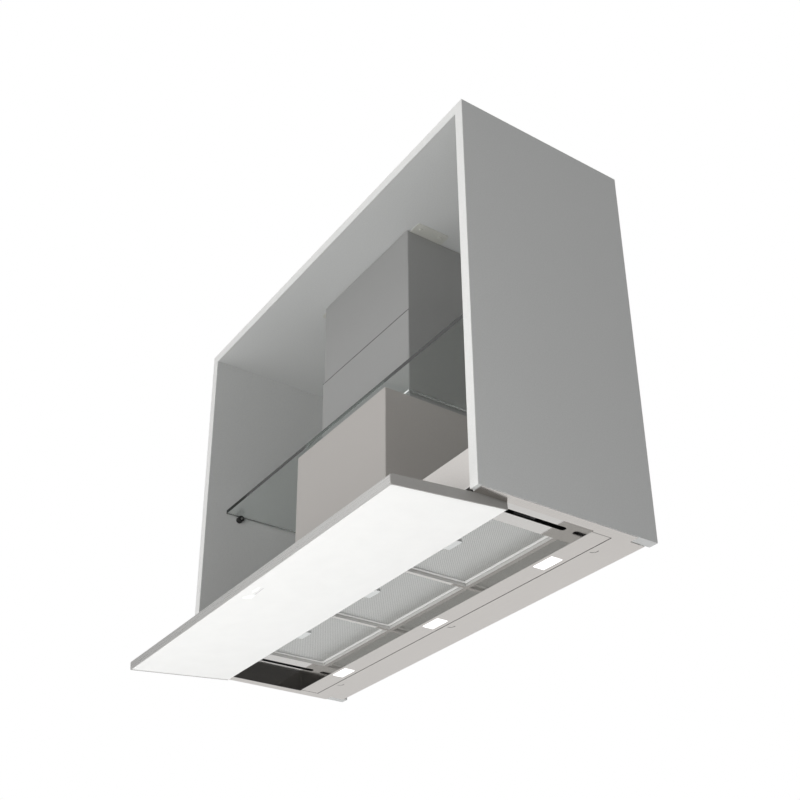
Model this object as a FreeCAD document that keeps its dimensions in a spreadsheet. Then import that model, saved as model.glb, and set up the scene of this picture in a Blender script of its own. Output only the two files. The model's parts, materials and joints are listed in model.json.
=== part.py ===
import FreeCAD, Part
import math
import os
from types import SimpleNamespace

import Sketcher
from FreeCAD import Placement, Rotation, Vector

# A range hood built into an open wall unit, with a glass visor that slides out and tilts.
# X runs to the right, Y runs back to the wall and Z runs up, all in millimetres.
# The origin is the middle of the hanging rail's rear face, on the wall.
# Names ending in "rise" are heights above the unit's underside.
# Names ending in "front" or "rear" are depths behind the unit's front.

SIZES = [
    ("carcass_width", 900, "outside width of the wall unit"),
    ("carcass_depth", 342, "front edge to wall"),
    ("carcass_height", 721, "outside height of the sides"),
    ("board", 18, "thickness of the carcass boards"),
    ("edge_band", 1, "edging on the front edges"),
    ("back_sheet", 3, "thickness of the back panel"),
    ("hanging_rail_height", 100, "upper rail against the wall"),
    ("lower_rail_height", 80, "lower rail against the wall"),
    ("lower_rail_rise", 110, "underside of the lower rail"),
    ("wall_hole_margin", 100, "wall screws from the unit's ends"),
    ("wall_hole_radius", 4, "wall screw holes"),
    ("duct_hole_radius", 80, "hole for the duct in the top panel"),
    ("shelf_glass", 8, "thickness of the shelf"),
    ("shelf_above", 6, "underside of the shelf above the blower housing"),
    ("shelf_front", 44, "front edge of the shelf"),
    ("shelf_gap", 2, "shelf to the sides and the back"),
    ("shelf_notch_gap", 4, "shelf to the duct cover"),
    ("peg_radius", 6.5, "rubber ring that carries the shelf"),
    ("peg_pin_radius", 2.5, "shelf peg"),
    ("peg_reach", 12, "shelf peg out of the side"),
    ("peg_hole_depth", 8, "shelf peg into the side"),
    ("peg_front_depth", 74, "front pair of pegs"),
    ("peg_rear_depth", 270, "rear pair of pegs"),
    ("works_shift", 5, "blower, filters and lamps to the right of the middle"),
    ("sheet", 1.2, "folded steel sheet"),
    ("bend_radius", 1, "inside of a fold in the sheet"),
    ("side_gap", 0.3, "hood to the sides of the unit"),
    ("fit_gap", 0.3, "pieces that seat with a little play"),
    ("running_gap", 0.05, "shaft or pin in its hole"),
    ("overrun", 5, "cuts past the face they open"),
    ("frame_inset", 1, "base frame inside the unit's outline"),
    ("frame_front", 7, "front ends of the base frame"),
    ("frame_step", 302, "end of the frame's side flanges"),
    ("frame_rear", 332, "rear edge of the base frame"),
    ("recess_rear", 231, "rear wall of the filter recess"),
    ("ceiling_rise", 20.5, "ceiling of the filter recess"),
    ("lamp_border", 4.5, "frame beside the lamp panel"),
    ("lamp_seam", 269.6, "rear edge of the lamp panel"),
    ("seam_gap", 1, "open seam round the lamp panel"),
    ("lamp_margin", 132, "outer lamps from the unit's sides"),
    ("lamp_width", 45, "lamp window along the hood"),
    ("lamp_depth", 22, "lamp window across the panel"),
    ("lamp_front", 237.5, "front edge of the lamp windows"),
    ("lamp_module_height", 12, "lamp module above the panel"),
    ("lamp_module_border", 5, "lamp module past its window"),
    ("slit_radius", 9, "curved finger slits behind the lamp panel"),
    ("slit_width", 1.4, "curved finger slits"),
    ("slit_shift", 8, "finger slits to the right of the lamps' middle"),
    ("slit_margin", 65, "outer finger slits from the unit's sides"),
    ("slit_depth", 6, "finger slits behind the seam"),
    ("tray_front", 20, "front wall of the tray"),
    ("tray_rear_inset", 14, "tray's rear wall before the base frame's rear edge"),
    ("tray_top_rise", 85, "top of the tray"),
    ("slot_width", 11, "slots for the visor arms"),
    ("slot_margin", 59, "slots from the unit's sides"),
    ("slot_front", 40, "front end of the slots"),
    ("slot_rear", 223, "rear end of the slots"),
    ("filter_depth", 200, "grease filter front to rear"),
    ("filter_height", 9, "grease filter frame"),
    ("filter_border", 6, "bar of the filter frame"),
    ("filter_rib", 8, "between two filters"),
    ("filter_margin", 29.5, "slots to the outer filters, with half a rib"),
    ("filter_rise", 26, "underside of the filters"),
    ("filter_rear", 226, "rear edge of the filters"),
    ("filter_gap", 0.8, "filter to its collar"),
    ("collar_over", 2, "filter collar above the filter"),
    ("mesh_inset", 0.8, "mesh inside the frame's faces"),
    ("lug_width", 14, "front lugs of a filter"),
    ("lug_bead_radius", 1.2, "round bead that a lug turns on"),
    ("lug_sheet", 1.5, "thickness of a lug"),
    ("latch_width", 34, "finger bar of a filter latch"),
    ("latch_depth", 12, "finger bar front to rear"),
    ("latch_front", 112, "front of the finger bar"),
    ("latch_corner", 2, "round corners of the finger bar"),
    ("latch_drop", 2, "finger bar below the filter"),
    ("stem_width", 8, "latch stem"),
    ("stem_height", 1.2, "latch stem"),
    ("latch_travel", 5, "stroke of a latch"),
    ("housing_width", 295, "blower housing and duct cover"),
    ("housing_front", 46.5, "front of the blower housing"),
    ("housing_top_rise", 336, "top of the blower housing"),
    ("cover_front", 96.6, "front of the duct cover"),
    ("cover_seam_rise", 519, "top edge of the lower duct cover"),
    ("cover_lap", 39, "upper cover inside the lower one"),
    ("cover_top_gap", 1.6, "upper cover below the top panel"),
    ("cover_return", 15, "inward flanges at the cover's rear"),
    ("cover_bevel", 0.8, "bevel on the top edge of the lower cover"),
    ("cover_nest_gap", 0.4, "between the two covers"),
    ("tab_front", 105, "front end of the ceiling tabs"),
    ("tab_length", 70, "ceiling tabs front to rear"),
    ("tab_reach", 26, "ceiling tabs past the cover"),
    ("tab_drop", 24, "ceiling tabs down inside the cover"),
    ("tab_corner", 5, "round corners of the ceiling tabs"),
    ("screw_radius", 2, "shank of a tapping screw"),
    ("screw_head_radius", 4, "head of a tapping screw"),
    ("screw_head_height", 2.2, "head of a tapping screw"),
    ("screw_bite", 10, "screw in the board"),
    ("collar_radius", 74.5, "outlet spigot for a 150 mm duct"),
    ("collar_wall", 1.5, "wall of the outlet spigot"),
    ("collar_height", 60, "outlet spigot above the housing"),
    ("collar_flange", 15, "flange of the outlet spigot"),
    ("stop_ring", 3, "ledge under the flaps"),
    ("flap_height", 35, "flap rods above the housing"),
    ("flap_sheet", 1.2, "thickness of a flap"),
    ("flap_rod_radius", 1.5, "flap rods"),
    ("flap_rod_offset", 4, "flap rods from the spigot's middle"),
    ("knuckle_wall", 1.4, "flap knuckle round its rod"),
    ("fan_rise", 200, "fan axis"),
    ("fan_depth", 150, "fan axis behind the front"),
    ("impeller_radius", 62, "tips of the blades"),
    ("impeller_width", 104, "impeller along its axis"),
    ("blade_depth", 12, "blade from root to tip"),
    ("blade_sheet", 1.2, "thickness of a blade"),
    ("blade_inset", 0.6, "blades inside the edges of the end rings"),
    ("ring_width", 2.5, "end rings of the impeller"),
    ("disc_width", 3, "middle disc of the impeller"),
    ("hub_radius", 12, "impeller hub"),
    ("hub_length", 24, "impeller hub"),
    ("scroll_start", 72, "scroll radius at the tongue"),
    ("scroll_growth", 26, "scroll radius gained at the outlet"),
    ("scroll_throat", 15, "tongue beside the outlet"),
    ("scroll_width", 120, "scroll along the fan axis"),
    ("scroll_wall", 2.5, "moulded wall of the scroll"),
    ("inlet_radius", 48, "inlets of the scroll"),
    ("motor_radius", 38, "motor can"),
    ("motor_length", 56, "motor can"),
    ("motor_bell", 12, "tapered end of the motor"),
    ("motor_nose", 20, "radius at the end of the taper"),
    ("shaft_radius", 4, "motor shaft"),
    ("bracket_sheet", 2.5, "motor bracket"),
    ("bracket_arm", 14, "arms of the motor bracket"),
    ("bracket_reach", 58, "arms of the motor bracket"),
    ("box_length", 130, "terminal box along the hood"),
    ("box_depth", 70, "terminal box front to rear"),
    ("box_height", 38, "terminal box"),
    ("box_wall", 2, "terminal box"),
    ("box_corner", 5, "round upright corners of the terminal box"),
    ("box_margin", 97, "terminal box from the unit's right side"),
    ("box_front", 225, "front of the terminal box"),
    ("gland_radius", 9, "cable gland"),
    ("gland_reach", 16, "cable gland out of the box"),
    ("gland_bore", 4, "cable entry"),
    ("visor_side_gap", 2, "visor to the recess walls"),
    ("visor_depth", 199, "visor glass front to rear"),
    ("visor_glass", 4, "thickness of the visor glass"),
    ("visor_body", 11, "visor pan above the glass"),
    ("visor_tilt", 5.17, "degrees that the open visor leans"),
    ("visor_proud", 4, "closed visor below the unit's underside"),
    ("arm_reach", 80, "visor's rear edge in front of its hinge"),
    ("arm_sheet", 3, "visor arms"),
    ("arm_height", 10, "visor arms"),
    ("arm_foot", 14, "foot of an arm on the visor"),
    ("foot_width", 24, "foot of an arm along the visor"),
    ("hinge_rise", 34, "hinge pins above the unit's underside"),
    ("hinge_depth", 145.75, "hinge pins behind the front"),
    ("hinge_pin_radius", 2.5, "hinge pins"),
    ("profile_depth", 8, "front profile of the visor"),
    ("profile_round", 1, "inside of the profile's round edge"),
    ("profile_lip", 1, "front profile above the pan"),
    ("profile_wall", 1.6, "wall of the front profile"),
    ("cap_width", 2, "end caps of the visor"),
    ("cap_corner", 3, "round corners of the end caps"),
    ("skirt_round", 0.8, "round lower edge of the profile"),
    ("rail_width", 18, "guide rails of the visor"),
    ("rail_height", 23, "guide rails of the visor"),
    ("rail_front", 115, "front end of the guide rails"),
    ("slider_length", 40, "sliders in the guide rails"),
    ("touch_offset", -90, "touch board from the middle"),
    ("touch_width", 110, "touch board along the visor"),
    ("touch_depth", 24, "touch board front to rear"),
    ("touch_sheet", 1.6, "touch board"),
    ("touch_front", 14, "touch board behind the visor's front"),
]

BLADES = 30
BLADE_SHARES = (0, 0.35, 0.7, 1)
TAB_SCREW_SHARES = (0.2, 0.8)
SLIT_START = 70
SLIT_SWEEP = 110
SAME_SPOT = 1e-6
MOUTH_SHARE = 0.5
HEAD_SIDES = 6
BRACKET_ARMS = 3

os.makedirs("parts", exist_ok=True)
doc = FreeCAD.newDocument("range_hood")
dims = doc.addObject("Spreadsheet::Sheet", "dims")


class Size:
    """A length with its number and the sheet formula that gives it."""

    def __init__(self, value, formula):
        self.value = value
        self.formula = formula

    def __add__(self, other):
        other = as_size(other)
        return Size(self.value + other.value, f"({self.formula} + {other.formula})")

    def __sub__(self, other):
        other = as_size(other)
        return Size(self.value - other.value, f"({self.formula} - {other.formula})")

    def __mul__(self, share):
        return Size(self.value * share, f"({self.formula} * {share})")

    def __truediv__(self, share):
        return Size(self.value / share, f"({self.formula} / {share})")

    def __neg__(self):
        return Size(-self.value, f"(0 - {self.formula})")


def as_size(thing):
    return thing if isinstance(thing, Size) else Size(thing, str(thing))


def fill_sheet():
    """Writes each driving size to the sheet and returns them by name."""
    named = {}
    for row, (name, value, meaning) in enumerate(SIZES, start=1):
        dims.set(f"A{row}", meaning)
        dims.set(f"B{row}", str(value))
        dims.setAlias(f"B{row}", name)
        named[name] = Size(value, f"dims.{name}")
    doc.recompute()
    return SimpleNamespace(**named)


s = fill_sheet()
ZERO = Size(0, "0")
NODES = []


def front(depth):
    """Y of a depth behind the unit's front edge."""
    return as_size(depth) - s.carcass_depth


def rise(height):
    """Z of a height above the unit's underside."""
    return as_size(height) - (s.carcass_height - s.board - s.hanging_rail_height / 2)


def about(middle, width):
    """The two ends of a width laid about its middle."""
    return (middle - width / 2, middle + width / 2)


def bind(thing, path, size):
    thing.setExpression(path, as_size(size).formula)


def place(thing, x=ZERO, y=ZERO, z=ZERO):
    for axis, size in zip("xyz", (x, y, z)):
        bind(thing, f"Placement.Base.{axis}", size)
    return thing


def node(label, thing):
    """Names a finished piece, so that it is written out under that name."""
    thing.Label = label
    NODES.append(thing)
    return thing


def box(label, x, y, z):
    solid = doc.addObject("Part::Box", label)
    for side, span in zip(("Length", "Width", "Height"), (x, y, z)):
        bind(solid, side, span[1] - span[0])
    return place(solid, x[0], y[0], z[0])


TURNS = {
    "x": Rotation(Vector(0, 1, 0), 90),
    "y": Rotation(Vector(1, 0, 0), -90),
    "z": Rotation(),
}


def rod(label, axis, radius, x, y, z, length):
    """A cylinder that starts at a point and runs along one axis."""
    solid = doc.addObject("Part::Cylinder", label)
    solid.Placement = Placement(Vector(), TURNS[axis])
    bind(solid, "Radius", radius)
    bind(solid, "Height", length)
    return place(solid, x, y, z)


def hexagon(label, axis, radius, x, y, z, length):
    """A six-sided screw head that starts at a point and runs along one axis."""
    solid = doc.addObject("Part::Prism", label)
    solid.Polygon = HEAD_SIDES
    solid.Placement = Placement(Vector(), TURNS[axis])
    bind(solid, "Circumradius", radius)
    bind(solid, "Height", length)
    return place(solid, x, y, z)


def fuse(label, *parts):
    whole = doc.addObject("Part::MultiFuse", label)
    whole.Shapes = list(parts)
    return whole


def cut(label, base, *tools):
    result = doc.addObject("Part::Cut", label)
    result.Base = base
    result.Tool = tools[0] if len(tools) == 1 else fuse(f"{label}_cuts", *tools)
    return result


def group(label, *parts):
    """Separate solids that share one node."""
    whole = doc.addObject("Part::Compound", label)
    whole.Links = list(parts)
    return whole


def origin_plane(body, role):
    return next(plane for plane in body.Origin.OriginFeatures if plane.Role == role)


def pin_corner(sketch, line, x, y):
    """Holds the start of a sketch line at a point given in sheet sizes."""
    for kind, size, axis in (("DistanceX", x, -2), ("DistanceY", y, -1)):
        size = as_size(size)
        if size.formula == "0":
            sketch.addConstraint(Sketcher.Constraint("PointOnObject", line, 1, axis))
            continue
        index = sketch.addConstraint(Sketcher.Constraint(kind, -1, 1, line, 1, size.value))
        sketch.setExpression(f"Constraints[{index}]", size.formula)


def outline(body, role, loops, offset=ZERO):
    """A sketch of closed loops of straight lines, every corner bound to the sheet."""
    sketch = body.newObject("Sketcher::SketchObject", f"{body.Name}_outline")
    sketch.AttachmentSupport = [(origin_plane(body, role), "")]
    sketch.MapMode = "FlatFace"
    bind(sketch, "AttachmentOffset.Base.z", offset)
    for loop in loops:
        spots = [Vector(as_size(x).value, as_size(y).value, 0) for x, y in loop]
        first = sketch.GeometryCount
        count = len(spots)
        for k in range(count):
            sketch.addGeometry(Part.LineSegment(spots[k], spots[(k + 1) % count]))
        for k in range(count):
            following = first + (k + 1) % count
            sketch.addConstraint(Sketcher.Constraint("Coincident", first + k, 2, following, 1))
        for k, (x, y) in enumerate(loop):
            pin_corner(sketch, first + k, x, y)
    return sketch


def pad(body, role, loops, length, offset=ZERO):
    """Adds a pad to a body; on the XZ plane it runs back, along +Y."""
    feature = body.newObject("PartDesign::Pad", f"{body.Name}_pad")
    feature.Profile = outline(body, role, loops, offset)
    feature.Reversed = role == "XZ_Plane"
    bind(feature, "Length", length)
    body.Tip = feature
    return feature


def prism(label, role, loops, length):
    body = doc.addObject("PartDesign::Body", label)
    pad(body, role, loops, length)
    return body


def runs_along(edge, axis):
    """Whether an edge is straight along X, Y or Z."""
    ends = [vertex.Point for vertex in edge.Vertexes]
    others = [other for other in "xyz" if other != axis]
    return len(ends) == 2 and all(
        abs(getattr(ends[0], other) - getattr(ends[1], other)) < SAME_SPOT for other in others)


def starts_at(edge, spot):
    """Whether an edge has the given coordinates, such as {"x": 5, "y": 2}."""
    point = edge.Vertexes[0].Point
    return all(abs(getattr(point, axis) - size.value) < SAME_SPOT for axis, size in spot.items())


def picked(shape, picks):
    """Numbers of the straight edges that lie along an axis at the given places."""
    return [
        k for k, edge in enumerate(shape.Edges, start=1)
        if any(runs_along(edge, axis) and starts_at(edge, spot) for axis, spot in picks)]


def bend(body, picks, radius):
    """Rounds the picked edges of a folded or extruded body."""
    doc.recompute()
    base = body.Tip
    fold = body.newObject("PartDesign::Fillet", f"{body.Name}_fold")
    fold.Base = (base, [f"Edge{k}" for k in picked(base.Shape, picks)])
    bind(fold, "Radius", radius)
    body.Tip = fold
    return body


def bevel(body, picks, size):
    """Takes the sharp edge off a body along the picked edges and those that run on from them."""
    doc.recompute()
    base = body.Tip
    edge = body.newObject("PartDesign::Chamfer", f"{body.Name}_bevel")
    edge.Base = (base, [f"Edge{k}" for k in picked(base.Shape, picks)])
    bind(edge, "Size", size)
    body.Tip = edge
    return body


def rounded(label, base, picks, radius):
    """Rounds the picked edges of a solid."""
    doc.recompute()
    result = doc.addObject("Part::Fillet", label)
    result.Base = base
    result.Edges = [(k, radius.value, radius.value) for k in picked(base.Shape, picks)]
    return result


def upright_corners(x, y):
    """Picks the four upright edges of a block."""
    return [("z", {"x": a, "y": b}) for a in x for b in y]


def rectangle(x, y):
    return [(x[0], y[0]), (x[1], y[0]), (x[1], y[1]), (x[0], y[1])]


def shrunk(span, wall):
    """A span drawn in by a wall at both ends."""
    return (span[0] + wall, span[1] - wall)


def channel(x, y, wall, turn_in):
    """The section of a folded cover: a front, two sides and narrow inward flanges behind."""
    left, right = x
    near, far = y
    return [
        (left, near),
        (right, near),
        (right, far),
        (right - turn_in, far),
        (right - turn_in, far - wall),
        (right - wall, far - wall),
        (right - wall, near + wall),
        (left + wall, near + wall),
        (left + wall, far - wall),
        (left + turn_in, far - wall),
        (left + turn_in, far),
        (left, far),
    ]


# Places that several pieces share
half_width = s.carcass_width / 2
half_inside = half_width - s.board
back_face = -(s.board + s.back_sheet)
ceiling_of_unit = s.carcass_height - s.board
works = s.works_shift
tray_rear = s.frame_rear - s.tray_rear_inset
shelf_rise = s.housing_top_rise + s.shelf_above
half_recess = half_inside - s.side_gap - s.sheet
half_tray = half_recess + s.sheet
ceiling = s.ceiling_rise
ceiling_top = ceiling + s.sheet
housing_x = about(works, s.housing_width)
housing_rear = tray_rear - s.sheet
spigot_depth = (s.cover_front + housing_rear) / 2
slot_offset = half_inside - s.slot_margin
filter_pitch = (slot_offset - s.filter_margin) * 2 / 3
filter_width = filter_pitch - s.filter_rib
lamp_pitch = half_inside - s.lamp_margin


# Carcass of the wall unit

def wall_holes(label, heights):
    """Screw holes through the rails and the back, two at each height."""
    holes = []
    for height in heights:
        for x in about(ZERO, s.carcass_width - s.wall_hole_margin * 2):
            start = back_face - s.overrun
            hole = rod(label, "y", s.wall_hole_radius, x, start, rise(height), s.overrun * 2 - back_face)
            holes.append(hole)
    return holes


upper_hole = ceiling_of_unit - s.hanging_rail_height / 2
lower_hole = s.lower_rail_rise + s.lower_rail_height / 2
peg_middle = shelf_rise - s.peg_radius


def side_panel(label, x, inner_x, inward):
    board = box(f"{label}_board", x, (front(s.edge_band), ZERO), (rise(0), rise(s.carcass_height)))
    holes = []
    for depth in (s.peg_front_depth, s.peg_rear_depth):
        start = inner_x - s.peg_hole_depth if inward > 0 else inner_x
        holes.append(rod(
            f"{label}_hole", "x", s.peg_pin_radius, start, front(depth), rise(peg_middle), s.peg_hole_depth))
    return node(label, cut(f"{label}_drilled", board, *holes))


side_panel("side_panel_left", (-half_width, -half_inside), -half_inside, 1)
side_panel("side_panel_right", (half_inside, half_width), half_inside, -1)


def tab_screw_spots():
    """Where the ceiling tabs of the duct cover are screwed to the top panel."""
    beside = [housing_x[0] - s.tab_reach / 2, housing_x[1] + s.tab_reach / 2]
    return [(x, front(s.tab_front + s.tab_length * share)) for x in beside for share in TAB_SCREW_SHARES]


inside_x = (-half_inside, half_inside)
top_board = box(
    "top_board", inside_x, (front(s.edge_band), ZERO), (rise(ceiling_of_unit), rise(s.carcass_height)))
top_hole = rod(
    "top_hole", "z", s.duct_hole_radius, works, front(spigot_depth),
    rise(ceiling_of_unit - s.overrun), s.board + s.overrun * 2)
pilots = [
    rod("top_pilot", "z", s.screw_radius, x, y, rise(ceiling_of_unit), s.screw_bite)
    for x, y in tab_screw_spots()]
node("top_panel", cut("top_drilled", top_board, top_hole, *pilots))

back_board = box("back_board", inside_x, (back_face, -s.board), (rise(0), rise(ceiling_of_unit)))
node("back_panel", cut("back_drilled", back_board, *wall_holes("back_hole", (upper_hole, lower_hole))))


def wall_rail(label, low, height):
    board = box(f"{label}_board", inside_x, (-s.board, ZERO), (rise(low), rise(low + height)))
    return node(label, cut(f"{label}_drilled", board, *wall_holes(f"{label}_hole", (low + height / 2,))))


wall_rail("hanging_rail", ceiling_of_unit - s.hanging_rail_height, s.hanging_rail_height)
wall_rail("lower_rail", s.lower_rail_rise, s.lower_rail_height)

band_y = (front(0), front(s.edge_band))
node("edge_bands", group(
    "edge_band_group",
    box("band_left", (-half_width, -half_inside), band_y, (rise(0), rise(s.carcass_height))),
    box("band_right", (half_inside, half_width), band_y, (rise(0), rise(s.carcass_height))),
    box("band_top", inside_x, band_y, (rise(ceiling_of_unit), rise(s.carcass_height)))))


# Glass shelf, cut out round the duct cover, on four pegs with rubber rings

shelf_x = (-half_inside + s.shelf_gap, half_inside - s.shelf_gap)
shelf_y = (front(s.shelf_front), back_face - s.shelf_gap)
notch_x = (housing_x[0] - s.shelf_notch_gap, housing_x[1] + s.shelf_notch_gap)
notch_y = front(s.cover_front - s.shelf_notch_gap)
shelf = prism("shelf_glass", "XY_Plane", [[
    (shelf_x[0], shelf_y[0]),
    (shelf_x[1], shelf_y[0]),
    (shelf_x[1], shelf_y[1]),
    (notch_x[1], shelf_y[1]),
    (notch_x[1], notch_y),
    (notch_x[0], notch_y),
    (notch_x[0], shelf_y[1]),
    (shelf_x[0], shelf_y[1]),
]], s.shelf_glass)
node("glass_shelf", place(shelf, z=rise(shelf_rise)))


def shelf_pegs():
    pins = []
    rings = []
    for side in (-1, 1):
        for depth in (s.peg_front_depth, s.peg_rear_depth):
            pin_start = -half_inside - s.peg_hole_depth if side < 0 else half_inside - s.peg_reach
            ring_start = -half_inside if side < 0 else half_inside - s.peg_reach
            y = front(depth)
            z = rise(peg_middle)
            length = s.peg_hole_depth + s.peg_reach
            pins.append(rod("peg_pin", "x", s.peg_pin_radius, pin_start, y, z, length))
            tyre = rod("peg_tyre", "x", s.peg_radius, ring_start, y, z, s.peg_reach)
            through = s.peg_reach + s.overrun * 2
            bore = rod("peg_bore", "x", s.peg_pin_radius, ring_start - s.overrun, y, z, through)
            rings.append(cut("peg_ring", tyre, bore))
    node("shelf_pegs", group("peg_group", *pins))
    node("peg_rings", group("ring_group", *rings))


shelf_pegs()


# Base frame and lamp panel: the steel underside of the hood

half_frame = half_width - s.frame_inset
half_rear = half_inside - s.side_gap
half_lamp = half_recess - s.lamp_border
half_lamp_hole = half_lamp + s.seam_gap
lamp_rear = s.lamp_seam - s.seam_gap


def finger_slit(x):
    """A curved slit through the sheet behind the lamp panel's seam."""
    solids = []
    low = rise(-s.sheet - s.overrun)
    middle = front(s.lamp_seam + s.slit_depth)
    for radius in (s.slit_radius, s.slit_radius - s.slit_width):
        sector = rod("slit_sector", "z", radius, x, middle, low, s.sheet + s.overrun * 2)
        sector.Angle = SLIT_SWEEP
        sector.Placement.Rotation = Rotation(Vector(0, 0, 1), SLIT_START)
        solids.append(sector)
    return cut("slit", *solids)


def base_frame():
    body = doc.addObject("PartDesign::Body", "base_frame_body")
    right = [
        (half_lamp_hole, front(s.lamp_seam)),
        (half_lamp_hole, front(s.recess_rear)),
        (half_recess, front(s.recess_rear)),
        (half_recess, front(s.frame_front)),
        (half_frame, front(s.frame_front)),
        (half_frame, front(s.frame_step)),
        (half_rear, front(s.frame_step)),
        (half_rear, front(s.frame_rear)),
    ]
    left = [(-x, y) for x, y in reversed(right)]
    pad(body, "XY_Plane", [right + left], s.sheet)
    upstand = [
        (half_lamp_hole, front(s.recess_rear)),
        (half_recess, front(s.recess_rear)),
        (half_recess, front(s.frame_front)),
        (half_tray, front(s.frame_front)),
        (half_tray, front(s.recess_rear + s.sheet)),
        (half_lamp_hole, front(s.recess_rear + s.sheet)),
    ]
    mirrored = [(-x, y) for x, y in reversed(upstand)]
    rear = rectangle((-half_rear, half_rear), (front(tray_rear - s.sheet), front(tray_rear)))
    pad(body, "XY_Plane", [upstand, mirrored, rear], ceiling, s.sheet)
    place(body, z=rise(-s.sheet))
    pitch = half_inside - s.slit_margin
    spots = [works + s.slit_shift + pitch * k for k in (-1, 0, 1)]
    return node("base_frame", cut("base_frame_slit", body, *[finger_slit(x) for x in spots]))


base_frame()


def lamp_centres():
    return [works + lamp_pitch * k for k in (-1, 0, 1)]


def lamp_panel():
    body = doc.addObject("PartDesign::Body", "lamp_panel_body")
    panel = rectangle((-half_lamp, half_lamp), (front(s.recess_rear), front(lamp_rear)))
    window_y = (front(s.lamp_front), front(s.lamp_front + s.lamp_depth))
    windows = [rectangle(about(x, s.lamp_width), window_y) for x in lamp_centres()]
    pad(body, "XY_Plane", [panel] + windows, s.sheet)
    fold = rectangle((-half_lamp, half_lamp), (front(s.recess_rear), front(s.recess_rear + s.sheet)))
    pad(body, "XY_Plane", [fold], ceiling, s.sheet)
    return node("led_panel", place(body, z=rise(-s.sheet)))


lamp_panel()


def lamps():
    lenses = []
    modules = []
    for x in lamp_centres():
        lens_x = about(x, s.lamp_width - s.fit_gap * 2)
        lens_y = (front(s.lamp_front + s.fit_gap), front(s.lamp_front + s.lamp_depth - s.fit_gap))
        lenses.append(box("lamp_lens", lens_x, lens_y, (rise(-s.sheet), rise(0))))
        border = s.lamp_module_border
        module_x = about(x, s.lamp_width + border * 2)
        module_y = (front(s.lamp_front - border + s.sheet), front(s.lamp_front + s.lamp_depth + border))
        modules.append(box("lamp_module", module_x, module_y, (rise(0), rise(s.lamp_module_height))))
    node("led_lenses", group("lens_group", *lenses))
    node("led_modules", group("module_group", *modules))


lamps()


# Tray above the recess: a ceiling with filter collars and slots, and a folded shell

filter_front = s.filter_rear - s.filter_depth
filter_top = s.filter_rise + s.filter_height
bead_middle = s.filter_rise + s.lug_bead_radius
bead_depth = filter_front - s.filter_gap - s.sheet / 2


def filter_centres():
    return [works + filter_pitch * k for k in (-1, 0, 1)]


def lug_spots(middle):
    """The two front lugs of a filter, a quarter of its width from each end."""
    return [middle - filter_width / 4, middle + filter_width / 4]


def slot_tool(x):
    """A slot with round ends, for one visor arm."""
    radius = s.slot_width / 2
    low = ceiling - s.overrun
    height = s.sheet + s.overrun * 2
    ends = (s.slot_front + radius, s.slot_rear - radius)
    z = (rise(low), rise(low + height))
    middle = box("slot_middle", about(x, s.slot_width), (front(ends[0]), front(ends[1])), z)
    rounds = [rod("slot_end", "z", radius, x, front(depth), rise(low), height) for depth in ends]
    return fuse("slot", middle, *rounds)


def recess_ceiling():
    plate = box(
        "ceiling_plate", (-half_tray, half_tray), (front(s.tray_front), front(tray_rear)),
        (rise(ceiling), rise(ceiling_top)))
    solids = [plate]
    tools = [slot_tool(works + slot_offset), slot_tool(works - slot_offset)]
    collar_top = filter_top + s.collar_over
    for x in filter_centres():
        hole_x = about(x, filter_width + s.filter_gap * 2)
        hole_y = (filter_front - s.filter_gap, s.filter_rear + s.filter_gap)
        wall_x = (hole_x[0] - s.sheet, hole_x[1] + s.sheet)
        wall_y = (front(hole_y[0] - s.sheet), front(hole_y[1] + s.sheet))
        solids.append(box("filter_collar", wall_x, wall_y, (rise(ceiling), rise(collar_top))))
        tools.append(box(
            "filter_hole", hole_x, (front(hole_y[0]), front(hole_y[1])),
            (rise(ceiling - s.overrun), rise(collar_top + s.overrun))))
        for lug_x in lug_spots(x):
            window_y = (front(hole_y[0] - s.sheet - s.overrun), front(hole_y[0] + s.overrun))
            tools.append(box(
                "lug_window", about(lug_x, s.lug_width + s.filter_gap * 2), window_y,
                (rise(s.filter_rise - s.fit_gap), rise(bead_middle + s.lug_bead_radius + s.fit_gap))))
    return node("recess_ceiling", cut("ceiling_cut", fuse("ceiling_blank", *solids), *tools))


recess_ceiling()


def tray_shell():
    block = box(
        "tray_block", (-half_tray, half_tray), (front(s.tray_front), front(tray_rear)),
        (rise(ceiling_top), rise(s.tray_top_rise)))
    hollow = box(
        "tray_hollow", (-half_recess, half_recess),
        (front(s.tray_front + s.sheet), front(tray_rear - s.sheet)),
        (rise(ceiling_top - s.overrun), rise(s.tray_top_rise - s.sheet)))
    ledge = s.cover_return
    way_up = box(
        "tray_way_up", (housing_x[0] + ledge, housing_x[1] - ledge),
        (front(s.housing_front + ledge), front(housing_rear - ledge)),
        (rise(s.tray_top_rise - s.overrun), rise(s.tray_top_rise + s.overrun)))
    folded = rounded("tray_folded", block, [
        ("x", {"y": front(s.tray_front), "z": rise(s.tray_top_rise)})], s.bend_radius + s.sheet)
    hollowed = rounded("tray_hollow_folded", hollow, [
        ("x", {"y": front(s.tray_front + s.sheet), "z": rise(s.tray_top_rise - s.sheet)})], s.bend_radius)
    return node("tray_shell", cut("tray_cut", folded, hollowed, way_up))


tray_shell()


# Blower housing, outlet spigot with two flaps, and the telescopic duct cover

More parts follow.
